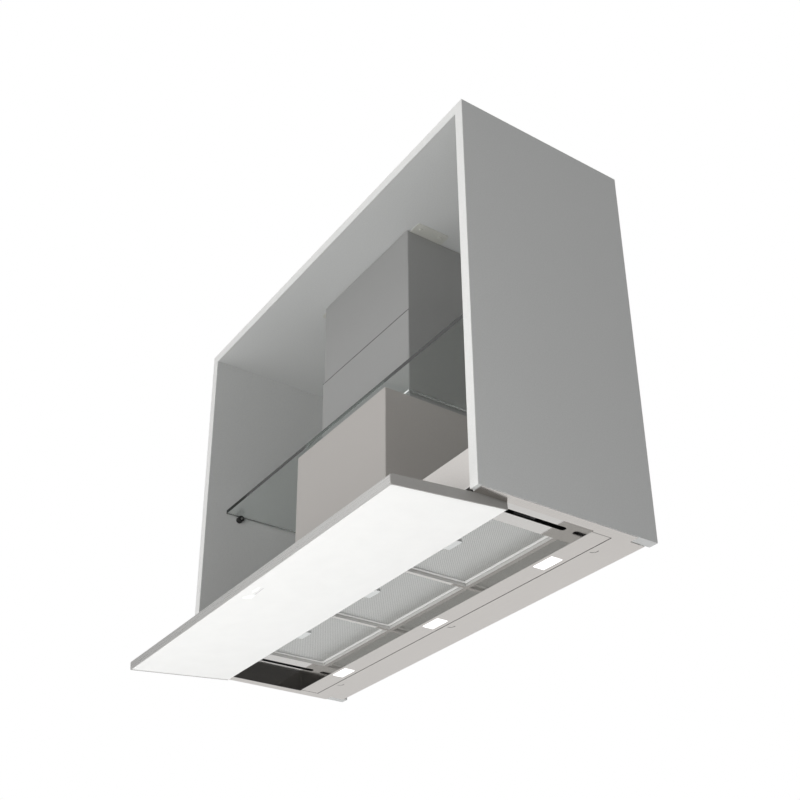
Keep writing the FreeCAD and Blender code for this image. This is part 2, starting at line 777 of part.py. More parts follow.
wrap = prism("housing_body", "XY_Plane", [[
    (housing_x[0], front(s.housing_front)),
    (housing_x[1], front(s.housing_front)),
    (housing_x[1], front(housing_rear)),
    (housing_x[1] - s.sheet, front(housing_rear)),
    (housing_x[1] - s.sheet, front(s.housing_front + s.sheet)),
    (housing_x[0] + s.sheet, front(s.housing_front + s.sheet)),
    (housing_x[0] + s.sheet, front(housing_rear)),
    (housing_x[0], front(housing_rear)),
]], s.housing_top_rise - s.tray_top_rise)
outer_fold = s.bend_radius + s.sheet
wrap_x = (housing_x[0] + s.sheet, housing_x[1] - s.sheet)
bend(wrap, upright_corners(housing_x, (front(s.housing_front),)), outer_fold)
bend(wrap, upright_corners(wrap_x, (front(s.housing_front + s.sheet),)), s.bend_radius)
node("housing_wrap", place(wrap, z=rise(s.tray_top_rise)))

housing_inner_x = (housing_x[0] + s.sheet, housing_x[1] - s.sheet)
node("housing_back", box(
    "housing_back_sheet", housing_inner_x, (front(housing_rear - s.sheet), front(housing_rear)),
    (rise(s.tray_top_rise), rise(s.housing_top_rise))))

lid_sheet = box(
    "housing_lid_sheet", housing_inner_x, (front(s.housing_front + s.sheet), front(housing_rear - s.sheet)),
    (rise(s.housing_top_rise - s.sheet), rise(s.housing_top_rise)))
lid_front = front(s.housing_front + s.sheet)
lid_corners = upright_corners(housing_inner_x, (lid_front,))
lid_sheet = rounded("housing_lid_blank", lid_sheet, lid_corners, outer_fold)
spigot_bore = s.collar_radius - s.collar_wall
lid_hole = rod(
    "housing_lid_hole", "z", spigot_bore, works, front(spigot_depth),
    rise(s.housing_top_rise - s.overrun), s.overrun * 2)
node("housing_top", cut("housing_lid", lid_sheet, lid_hole))

rod_height = s.flap_height
stop_top = rod_height - s.flap_sheet / 2 - s.fit_gap
flap_z = rise(s.housing_top_rise + rod_height)
flap_radius = spigot_bore - s.fit_gap * 3
seat_half = s.collar_radius - s.collar_wall / 3
rod_half = seat_half - s.fit_gap


def outlet_spigot():
    """A flanged tube, turned, with a ledge inside that the flaps rest on."""
    body = doc.addObject("PartDesign::Body", "spigot_body")
    inner = spigot_bore
    ledge = spigot_bore - s.stop_ring
    sketch = outline(body, "XZ_Plane", [[
        (inner, ZERO),
        (s.collar_radius + s.collar_flange, ZERO),
        (s.collar_radius + s.collar_flange, s.collar_wall),
        (s.collar_radius, s.collar_wall),
        (s.collar_radius, s.collar_height),
        (inner, s.collar_height),
        (inner, stop_top),
        (ledge, stop_top),
        (ledge, stop_top - s.stop_ring),
        (inner, stop_top - s.stop_ring),
    ]])
    turned = body.newObject("PartDesign::Revolution", "spigot_turned")
    turned.Profile = sketch
    turned.ReferenceAxis = (sketch, ["V_Axis"])
    turned.Angle = 360
    body.Tip = turned
    place(body, works, front(spigot_depth), rise(s.housing_top_rise))
    seats = [
        rod("rod_seat", "x", s.flap_rod_radius, works - seat_half,
            front(spigot_depth + s.flap_rod_offset * side), flap_z, seat_half * 2)
        for side in (-1, 1)]
    return node("outlet_spigot", cut("spigot_drilled", body, *seats))


outlet_spigot()


def flap(label, side):
    """Half a disc on a knuckle, hinged on its own rod."""
    rod_y = front(spigot_depth + s.flap_rod_offset * side)
    disc_low = flap_z - s.flap_sheet / 2
    disc = rod("flap_disc", "z", flap_radius, works, front(spigot_depth), disc_low, s.flap_sheet)
    knuckle_radius = s.flap_rod_radius + s.running_gap + s.knuckle_wall
    near = rod_y if side > 0 else front(spigot_depth) - flap_radius
    far = front(spigot_depth) + flap_radius if side > 0 else rod_y
    half_z = (flap_z - s.overrun, flap_z + s.overrun)
    half = box("flap_half", about(works, flap_radius * 2), (near, far), half_z)
    leaf = doc.addObject("Part::Common", "flap_leaf")
    leaf.Base = disc
    leaf.Tool = half
    length = flap_radius * 1.9
    knuckle = rod("flap_knuckle", "x", knuckle_radius, works - length / 2, rod_y, flap_z, length)
    bore_radius = s.flap_rod_radius + s.running_gap
    reach = flap_radius + s.overrun
    bore = rod("flap_bore", "x", bore_radius, works - reach, rod_y, flap_z, reach * 2)
    return node(label, cut(f"{label}_bored", fuse("flap_blank", leaf, knuckle), bore))


flap("damper_flap_front", -1)
flap("damper_flap_rear", 1)
node("damper_rods", group("rod_group", *[
    rod("flap_rod", "x", s.flap_rod_radius, works - rod_half, front(spigot_depth + s.flap_rod_offset * side),
        flap_z, rod_half * 2)
    for side in (-1, 1)]))


def duct_cover(label, x, y, height):
    """A folded cover with round bends, outside and inside."""
    body = prism(label, "XY_Plane", [channel(x, y, s.sheet, s.cover_return)], height)
    bend(body, upright_corners(x, y), outer_fold)
    return bend(body, upright_corners(shrunk(x, s.sheet), shrunk(y, s.sheet)), s.bend_radius)


lower_height = s.cover_seam_rise - s.housing_top_rise
lower_y = (front(s.cover_front), front(housing_rear))
lower_cover = duct_cover("cover_lower_body", housing_x, lower_y, lower_height)
bevel(lower_cover, [("x", {"y": lower_y[0], "z": lower_height})], s.cover_bevel)
node("duct_cover_lower", place(lower_cover, z=rise(s.housing_top_rise)))

nest = s.sheet + s.cover_nest_gap
upper_low = s.cover_seam_rise - s.cover_lap
upper_x = (housing_x[0] + nest, housing_x[1] - nest)
upper_y = (front(s.cover_front) + nest, front(housing_rear) - nest)
upper_cover = duct_cover("cover_upper_body", upper_x, upper_y, ceiling_of_unit - s.cover_top_gap - upper_low)
node("duct_cover_upper", place(upper_cover, z=rise(upper_low)))


def ceiling_tabs():
    """Two angle brackets that hold the upper cover's sides to the top panel."""
    tabs = []
    flat_low = ceiling_of_unit - s.sheet
    y = (front(s.tab_front), front(s.tab_front + s.tab_length))
    for side in (-1, 1):
        wall = upper_x[1] - s.sheet - s.fit_gap if side > 0 else upper_x[0] + s.sheet + s.fit_gap
        out = housing_x[1] + s.tab_reach if side > 0 else housing_x[0] - s.tab_reach
        flat_x = (wall - s.sheet, out) if side > 0 else (out, wall + s.sheet)
        leg_x = (wall - s.sheet, wall) if side > 0 else (wall, wall + s.sheet)
        flat = box("tab_flat", flat_x, y, (rise(flat_low), rise(ceiling_of_unit)))
        flat = rounded("tab_flat_round", flat, upright_corners((out,), y), s.tab_corner)
        leg = box("tab_leg", leg_x, y, (rise(ceiling_of_unit - s.tab_drop), rise(ceiling_of_unit)))
        tabs.append(fuse("tab", flat, leg))
    eyes = [
        rod("tab_hole", "z", s.screw_radius, x, spot, rise(flat_low - s.overrun), s.overrun * 2)
        for x, spot in tab_screw_spots()]
    screws = []
    for x, spot in tab_screw_spots():
        low = rise(flat_low - s.screw_head_height)
        head = hexagon("tab_screw_head", "z", s.screw_head_radius, x, spot, low, s.screw_head_height)
        length = s.screw_head_height + s.sheet + s.screw_bite
        shank = rod("tab_screw_shank", "z", s.screw_radius, x, spot, low, length)
        screws.append(fuse("tab_screw", head, shank))
    half = len(eyes) // 2
    node("duct_brackets", group(
        "tab_group", cut("tab_left", tabs[0], *eyes[:half]), cut("tab_right", tabs[1], *eyes[half:])))
    node("bracket_screws", group("tab_screw_group", *screws))


ceiling_tabs()


# Blower: scroll in two halves, impeller on the motor's shaft, motor on a bracket


def fan_piece(label, shape):
    """A piece modelled about the fan axis, which runs along X."""
    piece = doc.addObject("Part::Feature", label)
    piece.Shape = shape
    place(piece, works, front(s.fan_depth), rise(s.fan_rise))
    return node(label, piece)


def scroll_face(skin, top):
    """The scroll's outline in the YZ plane, three growing quarter turns and a straight outlet."""
    step = s.scroll_growth.value / 3
    start = s.scroll_start.value
    throat = s.scroll_throat.value
    middles = [(0, 0), (step, 0), (step, step)]
    edges = []
    for k, (y, z) in enumerate(middles):
        radius = start + step * k + skin
        turns = [math.radians(90 + 90 * k + 45 * j) for j in range(3)]
        spots = [Vector(0, y + radius * math.cos(turn), z + radius * math.sin(turn)) for turn in turns]
        edges.append(Part.Arc(*spots).toShape())
    last = edges[-1].Vertexes[-1].Point
    first = edges[0].Vertexes[0].Point
    corners = [
        last,
        Vector(0, last.y, top),
        Vector(0, throat - skin, top),
        Vector(0, throat - skin, first.z + throat / 2),
        first,
    ]
    edges += [Part.LineSegment(a, b).toShape() for a, b in zip(corners, corners[1:])]
    return Part.Face(Part.Wire(Part.__sortEdges__(edges)))


def motor_screw_spots():
    """Where the bracket's arms are screwed to the scroll's left wall."""
    reach = s.bracket_reach.value - s.bracket_arm.value / 3
    turns = [math.radians(360 / BRACKET_ARMS * k) for k in range(BRACKET_ARMS)]
    wall = -s.scroll_width.value / 2
    return [Vector(wall, -reach * math.sin(turn), reach * math.cos(turn)) for turn in turns]


def scroll_halves():
    wall = s.scroll_wall.value
    width = s.scroll_width.value
    top = s.housing_top_rise.value - s.sheet.value - s.fan_rise.value
    outside = scroll_face(wall, top)
    outside.translate(Vector(-width / 2, 0, 0))
    inside = scroll_face(0, top + s.overrun.value)
    inside.translate(Vector(-width / 2 + wall, 0, 0))
    shell = outside.extrude(Vector(width, 0, 0)).cut(inside.extrude(Vector(width - wall * 2, 0, 0)))
    inlet = Part.makeCylinder(
        s.inlet_radius.value, width + s.overrun.value * 2,
        Vector(-width / 2 - s.overrun.value, 0, 0), Vector(1, 0, 0))
    shell = shell.cut(inlet)
    mouths = [
        edge for edge in shell.Edges
        if isinstance(edge.Curve, Part.Circle) and abs(edge.Curve.Radius - s.inlet_radius.value) < SAME_SPOT
        and abs(abs(edge.Curve.Center.x) - width / 2) < SAME_SPOT]
    shell = shell.makeChamfer(wall * MOUTH_SHARE, mouths)
    for spot in motor_screw_spots():
        shell = shell.cut(Part.makeCylinder(s.screw_radius.value, wall, spot, Vector(1, 0, 0)))
    reach = s.housing_top_rise.value
    for label, low in (("scroll_left", -width), ("scroll_right", 0)):
        half = Part.makeBox(width, reach * 2, reach * 2, Vector(low, -reach, -reach))
        fan_piece(label, shell.common(half))


scroll_halves()


def impeller():
    """Forward-curved blades between two end rings, on a disc and hub."""
    tip = s.impeller_radius.value
    root = tip - s.blade_depth.value
    width = s.impeller_width.value
    along = Vector(1, 0, 0)

    def tube(outer, inner, low, length):
        solid = Part.makeCylinder(outer, length, Vector(low, 0, 0), along)
        return solid.cut(Part.makeCylinder(inner, length, Vector(low, 0, 0), along))

    lean = math.radians(360 / BLADES)
    inset = s.blade_inset.value
    reach = s.blade_depth.value - inset * 2

    def spot(share, side):
        """A point along the blade: its turn grows with the square of the share."""
        radius = root + inset + reach * share
        turn = lean * share ** 2 + side * s.blade_sheet.value / radius
        return Vector(-width / 2, radius * math.cos(turn), radius * math.sin(turn))

    ahead = [spot(share, 1) for share in BLADE_SHARES]
    behind = [spot(share, 0) for share in BLADE_SHARES]
    outline_points = behind + ahead[::-1] + behind[:1]
    blade = Part.Face(Part.makePolygon(outline_points)).extrude(Vector(width, 0, 0))
    blades = []
    for k in range(BLADES):
        turned = blade.copy()
        turned.rotate(Vector(), along, 360 / BLADES * k)
        blades.append(turned)
    ring = s.ring_width.value
    rings = [tube(tip, root, low, ring) for low in (-width / 2, width / 2 - ring)]
    bore = s.shaft_radius.value
    disc = tube((root + tip) / 2, bore, -s.disc_width.value / 2, s.disc_width.value)
    hub = tube(s.hub_radius.value, bore, -s.disc_width.value / 2, s.hub_length.value)
    wheel = disc.multiFuse([hub] + rings + blades)
    return fan_piece("impeller", wheel.removeSplitter())


impeller()


def motor_can():
    """A turned can with a tapered front end, bored for its shaft."""
    body = doc.addObject("PartDesign::Body", "motor_body")
    start = -s.scroll_width / 2
    shoulder = start + s.motor_length - s.motor_bell
    bore = s.shaft_radius + s.running_gap
    sketch = outline(body, "XY_Plane", [[
        (start, bore),
        (start, s.motor_radius),
        (shoulder, s.motor_radius),
        (start + s.motor_length, s.motor_nose),
        (start + s.motor_length, bore),
    ]])
    turned = body.newObject("PartDesign::Revolution", "motor_turned")
    turned.Profile = sketch
    turned.ReferenceAxis = (sketch, ["H_Axis"])
    turned.Angle = 360
    body.Tip = turned
    return node("motor", place(body, works, front(s.fan_depth), rise(s.fan_rise)))


motor_can()


def hexagon_head(spot, height):
    """A six-sided head about the fan's axis direction."""
    radius = s.screw_head_radius.value
    turns = [math.radians(360 / HEAD_SIDES * k) for k in range(HEAD_SIDES + 1)]
    corners = [spot + Vector(0, radius * math.cos(turn), radius * math.sin(turn)) for turn in turns]
    return Part.Face(Part.makePolygon(corners)).extrude(height)


def motor_mount():
    """The motor's bracket with three arms, its screws and its shaft."""
    along = Vector(1, 0, 0)
    plate = s.bracket_sheet.value
    start = -s.scroll_width.value / 2
    length = s.motor_length.value
    shaft = s.shaft_radius.value
    bore = Part.makeCylinder(shaft + s.running_gap.value, length * 2, Vector(start - length / 2, 0, 0), along)
    reach = s.bracket_reach.value
    arm = s.bracket_arm.value
    spider = Part.makeCylinder(s.motor_radius.value / 2, plate, Vector(start - plate, 0, 0), along)
    arms = []
    holes = []
    screws = []
    for k in range(BRACKET_ARMS):
        turn = 360 / BRACKET_ARMS * k
        bar = Part.makeBox(plate, arm, reach, Vector(start - plate, -arm / 2, 0))
        bar.rotate(Vector(), along, turn)
        arms.append(bar)
    for wall_spot in motor_screw_spots():
        spot = wall_spot - along * plate
        holes.append(Part.makeCylinder(s.screw_radius.value, plate, spot, along))
        head_high = s.screw_head_height.value
        head_spot = spot - along * head_high
        head = hexagon_head(head_spot, along * head_high)
        length_in = head_high + plate + s.scroll_wall.value
        screws.append(head.fuse(Part.makeCylinder(s.screw_radius.value, length_in, head_spot, along)))
    shape = spider.multiFuse(arms)
    for hole in holes + [bore]:
        shape = shape.cut(hole)
    fan_piece("motor_bracket", shape)
    fan_piece("motor_screws", Part.makeCompound(screws))
    shaft_length = s.scroll_width.value / 2 + s.hub_length.value
    fan_piece("motor_shaft", Part.makeCylinder(shaft, shaft_length, Vector(start, 0, 0), along))


motor_mount()


# Terminal box on the tray, with a lid and a gland for the mains lead

box_right = half_inside - s.box_margin
box_x = (box_right - s.box_length, box_right)
box_y = (front(s.box_front), front(s.box_front + s.box_depth))
box_z = (rise(s.tray_top_rise), rise(s.tray_top_rise + s.box_height))
gland_y = (box_y[0] + box_y[1]) / 2
gland_z = (box_z[0] + box_z[1]) / 2


def terminal_box():
    block = box("terminal_block", box_x, box_y, box_z)
    hollow = box(
        "terminal_hollow", shrunk(box_x, s.box_wall), shrunk(box_y, s.box_wall),
        (box_z[0] + s.box_wall, box_z[1] + s.overrun))
    eye_start = box_x[1] - s.overrun
    eye = rod("terminal_eye", "x", s.gland_bore + s.box_wall, eye_start, gland_y, gland_z, s.overrun * 2)
    inner_corners = upright_corners(shrunk(box_x, s.box_wall), shrunk(box_y, s.box_wall))
    block = rounded("terminal_round", block, upright_corners(box_x, box_y), s.box_corner)
    hollow = rounded("terminal_hollow_round", hollow, inner_corners, s.box_corner - s.box_wall)
    node("terminal_box", cut("terminal_cut", block, hollow, eye))
    lid = box("terminal_lid_sheet", box_x, box_y, (box_z[1], box_z[1] + s.box_wall))
    node("terminal_lid", rounded("terminal_lid_round", lid, upright_corners(box_x, box_y), s.box_corner))
    nut = rod("gland_nut", "x", s.gland_radius, box_x[1], gland_y, gland_z, s.gland_reach)
    neck_radius = s.gland_bore + s.box_wall
    neck = rod("gland_neck", "x", neck_radius, box_x[1] - s.box_wall, gland_y, gland_z, s.box_wall)
    way = rod(
        "gland_way", "x", s.gland_bore, box_x[1] - s.box_wall - s.overrun, gland_y, gland_z,
        s.gland_reach + s.box_wall + s.overrun * 2)
    node("cable_gland", cut("gland_cut", fuse("gland_blank", nut, neck), way))


terminal_box()


# Grease filters: frame, mesh and a latch that slides forward to let the rear edge drop

def grease_filter(name, middle):
    width = about(middle, filter_width)
    depth = (filter_front, s.filter_rear)
    inner_x = shrunk(width, s.filter_border)
    inner_y = shrunk(depth, s.filter_border)
    block_z = (rise(s.filter_rise), rise(filter_top))
    block = box("filter_block", width, (front(depth[0]), front(depth[1])), block_z)
    lugs = []
    for x in lug_spots(middle):
        lug_x = about(x, s.lug_width)
        half = s.lug_sheet / 2
        lugs.append(box(
            "filter_lug", lug_x, (front(bead_depth), front(inner_y[0])),
            (rise(bead_middle - half), rise(bead_middle + half))))
        lugs.append(rod(
            "filter_bead", "x", s.lug_bead_radius, lug_x[0], front(bead_depth), rise(bead_middle),
            s.lug_width))
    window = box(
        "filter_window", inner_x, (front(inner_y[0]), front(inner_y[1])),
        (rise(s.filter_rise - s.overrun), rise(filter_top + s.overrun)))
    stem_low = s.filter_rise + s.filter_height / 2 - s.stem_height / 2
    stem_z = (rise(stem_low), rise(stem_low + s.stem_height))
    way_x = about(middle, s.stem_width + s.fit_gap * 2)
    way_z = (stem_z[0] - s.fit_gap, stem_z[1] + s.fit_gap)
    groove = box("filter_groove", way_x, (front(inner_y[1] - s.overrun), front(depth[1] + s.overrun)), way_z)
    node(f"filter_{name}_frame", cut("filter_ring", fuse("filter_blank", block, *lugs), window, groove))
    mesh_z = (rise(s.filter_rise + s.mesh_inset), rise(filter_top - s.mesh_inset))
    neck_rear = s.latch_front + s.latch_depth / 2
    way_front = front(s.latch_front - s.latch_travel - s.fit_gap)
    node(f"filter_{name}_mesh", cut(
        "filter_layers",
        box("filter_pad", inner_x, (front(inner_y[0]), front(inner_y[1])), mesh_z),
        box("stem_way", way_x, (way_front, front(inner_y[1] + s.overrun)), way_z),
        box("neck_way", way_x, (way_front, front(neck_rear + s.fit_gap)), (mesh_z[0] - s.overrun, way_z[1]))))
    bar_top = mesh_z[0] - s.fit_gap
    bar_y = (front(s.latch_front), front(s.latch_front + s.latch_depth))
    bar_z = (rise(s.filter_rise - s.latch_drop), bar_top)
    bar_x = about(middle, s.latch_width)
    bar = box("latch_bar", bar_x, bar_y, bar_z)
    bar = rounded("latch_bar_round", bar, upright_corners(bar_x, bar_y), s.latch_corner)
    stem_x = about(middle, s.stem_width)
    neck = box("latch_neck", stem_x, (front(s.latch_front), front(neck_rear)), (bar_top, stem_z[1]))
    tip = s.filter_rear + s.filter_gap - s.fit_gap
    stem = box("latch_stem", stem_x, (front(s.latch_front), front(tip)), stem_z)
    node(f"filter_{name}_latch", fuse("latch_blank", bar, neck, stem))


for name, middle in zip(("left", "middle", "right"), filter_centres()):
    grease_filter(name, middle)


# Visor: rails and sliders above the ceiling, arms through the slots, and the glass panel

def tilted(thing):
    """Sets a visor piece, modelled level about its hinge line, at the open visor's lean."""
    thing.Placement = Placement(Vector(), Rotation(Vector(1, 0, 0), s.visor_tilt.value))
    thing.setExpression("Placement.Rotation.Angle", s.visor_tilt.formula)
    return place(thing, ZERO, front(s.hinge_depth), rise(s.hinge_rise))


arm_spots = [works - slot_offset, works + slot_offset]
lip = (s.rail_width - s.slot_width) / 2
slider_half = s.rail_width / 2 - s.sheet - s.fit_gap
slider_low = ceiling_top + s.sheet + s.fit_gap
slider_high = ceiling_top + s.rail_height - s.sheet - s.fit_gap
cheek = s.arm_sheet / 2 + s.fit_gap


def guide_rails():
    """Two channels over the slots, open below between their lips."""
    rails = []
    for x in arm_spots:
        left, right = about(x, s.rail_width)
        section = [
            (left, ZERO),
            (left + lip, ZERO),
            (left + lip, s.sheet),
            (left + s.sheet, s.sheet),
            (left + s.sheet, s.rail_height - s.sheet),
            (right - s.sheet, s.rail_height - s.sheet),
            (right - s.sheet, s.sheet),
            (right - lip, s.sheet),
            (right - lip, ZERO),
            (right, ZERO),
            (right, s.rail_height),
            (left, s.rail_height),
        ]
        rail = prism("rail_body", "XZ_Plane", [section], housing_rear - s.rail_front)
        rails.append(place(rail, y=front(s.rail_front), z=rise(ceiling_top)))
    return node("visor_rails", group("rail_group", *rails))


guide_rails()


def sliders():
    blocks = []
    pins = []
    for x in arm_spots:
        y = about(front(s.hinge_depth), s.slider_length)
        z = (rise(slider_low), rise(slider_high))
        block = box("slider_block", (x - slider_half, x + slider_half), y, z)
        gate = box(
            "slider_gate", (x - cheek, x + cheek), (y[0] - s.overrun, front(s.hinge_depth) + s.arm_height),
            (rise(slider_low - s.overrun), rise(slider_high + s.overrun)))
        eye = rod(
            "slider_eye", "x", s.hinge_pin_radius, x - slider_half - s.overrun, front(s.hinge_depth),
            rise(s.hinge_rise), (slider_half + s.overrun) * 2)
        blocks.append(cut("slider", block, gate, eye))
        pins.append(rod(
            "hinge_pin", "x", s.hinge_pin_radius, x - slider_half, front(s.hinge_depth), rise(s.hinge_rise),
            slider_half * 2))
    node("visor_sliders", group("slider_group", *blocks))
    node("hinge_pins", group("pin_group", *pins))


sliders()

half_visor = half_recess - s.visor_side_gap
glass_low = -(s.hinge_rise + s.visor_proud)
glass_top = glass_low + s.visor_glass
pan_top = glass_top + s.visor_body
visor_rear = -s.arm_reach
visor_front = visor_rear - s.visor_depth
profile_rear = visor_front + s.profile_depth
half_pan = half_visor - s.cap_width


def visor_arms():
    arms = []
    for x in arm_spots:
        foot_rear = visor_rear
        foot_front = foot_rear - s.arm_foot
        half = s.arm_height / 2
        section = [
            (foot_front, pan_top),
            (foot_rear, pan_top),
            (foot_rear, -half),
            (ZERO, -half),
            (ZERO, half),
            (foot_front, half),
        ]
        plate = prism("arm_body", "YZ_Plane", [section], s.arm_sheet)
        place(plate, x=x - s.arm_sheet / 2)
        end = rod("arm_end", "x", half, x - s.arm_sheet / 2, ZERO, ZERO, s.arm_sheet)
        blade = fuse("arm_blade", plate, end)
        bore = s.hinge_pin_radius + s.running_gap
        eye = rod("arm_eye", "x", bore, x - s.arm_sheet, ZERO, ZERO, s.arm_sheet * 2)
        foot = box("arm_foot", about(x, s.foot_width), (foot_front, foot_rear), (pan_top, pan_top + s.sheet))
        arms.append(fuse("arm", cut("arm_bored", blade, eye), foot))
    return node("visor_arms", tilted(group("arm_group", *arms)))


visor_arms()

pan_block = box("pan_block", (-half_pan, half_pan), (profile_rear, visor_rear), (glass_top, pan_top))
pan_hollow = box(
    "pan_hollow", (-half_pan + s.sheet, half_pan - s.sheet), (profile_rear + s.sheet, visor_rear - s.sheet),
    (glass_top - s.overrun, pan_top - s.sheet))
pan_block = rounded("pan_folded", pan_block, [("x", {"y": visor_rear, "z": pan_top})], outer_fold)
pan_inner_rear = {"y": visor_rear - s.sheet, "z": pan_top - s.sheet}
pan_hollow = rounded("pan_hollow_folded", pan_hollow, [("x", pan_inner_rear)], s.bend_radius)
node("visor_pan", tilted(cut("pan_cut", pan_block, pan_hollow)))

half_pane = half_pan - s.fit_gap
pane_front = visor_front + s.profile_wall + s.fit_gap
pane_outline = rectangle((-half_pane, half_pane), (pane_front, visor_rear))
pane = prism("visor_pane", "XY_Plane", [pane_outline], s.visor_glass)
pane_group = group("visor_pane_group", place(pane, z=glass_low))
node("visor_glass", tilted(pane_group))


visor_top = pan_top + s.profile_lip


def front_profile():
    """An extrusion along the visor's front: a skirt before the glass, a ledge and a lip over the pan."""
    wall = s.profile_wall
    behind = visor_front + wall
    section = [
        (visor_front, glass_low),
        (behind, glass_low),
        (behind, glass_top),
        (profile_rear, glass_top),
        (profile_rear, glass_top + wall),
        (behind, glass_top + wall),
        (behind, visor_top - wall),
        (profile_rear, visor_top - wall),
        (profile_rear, visor_top),
        (visor_front, visor_top),
    ]
    bar = prism("profile_body", "YZ_Plane", [section], half_pan * 2)
    bend(bar, [("x", {"y": visor_front, "z": visor_top})], wall + s.profile_round)
    bend(bar, [("x", {"y": behind, "z": visor_top - wall})], s.profile_round)
    bend(bar, [("x", {"y": visor_front, "z": glass_low})], s.skirt_round)
    return node("visor_front_profile", tilted(group("profile_group", place(bar, x=-half_pan))))


front_profile()


def end_caps():
    """Plates that close the visor's ends, from the profile to the rear edge, with round corners."""
    caps = []
    for x in (-half_visor, half_pan):
        section = rectangle((visor_front, visor_rear), (glass_low, visor_top))
        plate = prism("cap_body", "YZ_Plane", [section], s.cap_width)
        bend(plate, [("x", {"y": y, "z": visor_top}) for y in (visor_front, visor_rear)], s.cap_corner)
        bend(plate, [("x", {"y": visor_front, "z": glass_low})], s.skirt_round)
        caps.append(place(plate, x=x))
    return node("visor_end_caps", tilted(group("cap_group", *caps)))


end_caps()

touch_y = (visor_front + s.touch_front, visor_front + s.touch_front + s.touch_depth)
touch_x = about(s.touch_offset, s.touch_width)
touch = box("touch_pcb", touch_x, touch_y, (glass_top, glass_top + s.touch_sheet))
node("touch_board", tilted(group("touch_group", touch)))


def check_and_write():
    """Stops on a failed feature or a bad solid, then writes one file for each piece."""
    doc.recompute()
    for thing in doc.Objects:
        if {"Invalid", "Error"} & set(thing.State):
            raise RuntimeError(f"{thing.Label} failed: {thing.State}")
    for thing in NODES:
        shape = thing.Shape
        if shape.isNull() or not shape.isValid() or not shape.Solids:
            raise RuntimeError(f"{thing.Label} is not a valid solid")
    for thing in NODES:
        thing.Shape.exportStep(f"parts/{thing.Label}.step")
        print(f"{thing.Label}: {len(thing.Shape.Solids)} solid(s), {thing.Shape.Volume:.0f} mm3")


check_and_write()
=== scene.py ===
# %% [markdown]
# # A built-in range hood, dressed in Blender
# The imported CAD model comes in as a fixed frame, in metres. The steps below give each piece its
# real finish, add the filters' mesh, and then set the light and the camera.

# %% Load the frame
import json
import math

import bmesh
import bpy
from mathutils import Matrix, Vector


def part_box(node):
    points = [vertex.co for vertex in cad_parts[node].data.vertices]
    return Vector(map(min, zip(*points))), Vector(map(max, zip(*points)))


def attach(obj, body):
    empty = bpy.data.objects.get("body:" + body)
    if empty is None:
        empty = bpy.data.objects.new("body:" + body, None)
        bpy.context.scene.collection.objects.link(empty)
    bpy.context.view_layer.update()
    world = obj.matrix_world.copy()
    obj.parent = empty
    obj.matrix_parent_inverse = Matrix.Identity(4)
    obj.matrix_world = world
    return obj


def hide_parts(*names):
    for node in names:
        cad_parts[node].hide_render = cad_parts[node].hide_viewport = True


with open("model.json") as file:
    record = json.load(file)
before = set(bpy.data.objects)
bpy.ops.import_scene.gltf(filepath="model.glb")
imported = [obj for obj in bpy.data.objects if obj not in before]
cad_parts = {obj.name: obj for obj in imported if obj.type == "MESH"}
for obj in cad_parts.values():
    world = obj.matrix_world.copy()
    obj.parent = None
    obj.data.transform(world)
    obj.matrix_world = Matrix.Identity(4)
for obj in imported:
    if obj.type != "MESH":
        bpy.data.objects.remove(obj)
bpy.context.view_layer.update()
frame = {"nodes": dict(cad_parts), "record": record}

MM = 0.001
NODES = frame["nodes"]
BODY_OF = {
    node: body
    for body, members in frame["record"]["behaviour"]["bodies"].items() for node in members}
SIDES = ("left", "middle", "right")

# %% [markdown]
# ## Colours and shader nodes
# Colours are written as sRGB hex values, as a paint chart gives them, and Blender's shaders
# work in linear light, so one function converts them. A second one adds a shader node with
# its settings and its links, which is all that the materials below need.

# %% Colour and node helpers
def linear(hex_colour, alpha=1.0):
    """An sRGB hex colour as linear RGBA."""
    channels = [int(hex_colour[k:k + 2], 16) / 255 for k in (1, 3, 5)]
    return [c / 12.92 if c <= 0.04045 else ((c + 0.055) / 1.055) ** 2.4 for c in channels] + [alpha]


def add(tree, kind, inputs=None, **settings):
    """Adds a shader node with its settings, and sets or links its inputs."""
    made = tree.nodes.new(kind)
    for name, value in settings.items():
        setattr(made, name, value)
    for socket, value in (inputs or {}).items():
        if isinstance(value, bpy.types.NodeSocket):
            tree.links.new(value, made.inputs[socket])
        else:
            made.inputs[socket].default_value = value
    return made


def blend(tree, value, at_zero, at_one):
    """A node that goes from one value to another as its input goes from 0 to 1."""
    return add(tree, "ShaderNodeMapRange", {"Value": value, "To Min": at_zero, "To Max": at_one})


def new_material(name):
    """An empty material, and its node tree."""
    material = bpy.data.materials.new(name)
    material.use_nodes = True
    material.node_tree.nodes.clear()
    return material, material.node_tree


def in_scene(name, data):
    """A new object in the scene, for a mesh, a lamp or a camera."""
    piece = bpy.data.objects.new(name, data)
    bpy.context.scene.collection.objects.link(piece)
    return piece


# %% [markdown]
# ## One recipe for most surfaces
# A real surface is never one flat tone. One noise, sized in millimetres, moves the colour between
# two close tones, and the roughness and the relief move with it. Most of the noise's values lie
# between 0.3 and 0.7, so that span carries the whole change.

# %% Surface recipe
GRAIN_SPAN = (0.3, 0.7)
GRAIN_DETAIL = 3.0
GRAIN_ROUGHNESS = 0.6


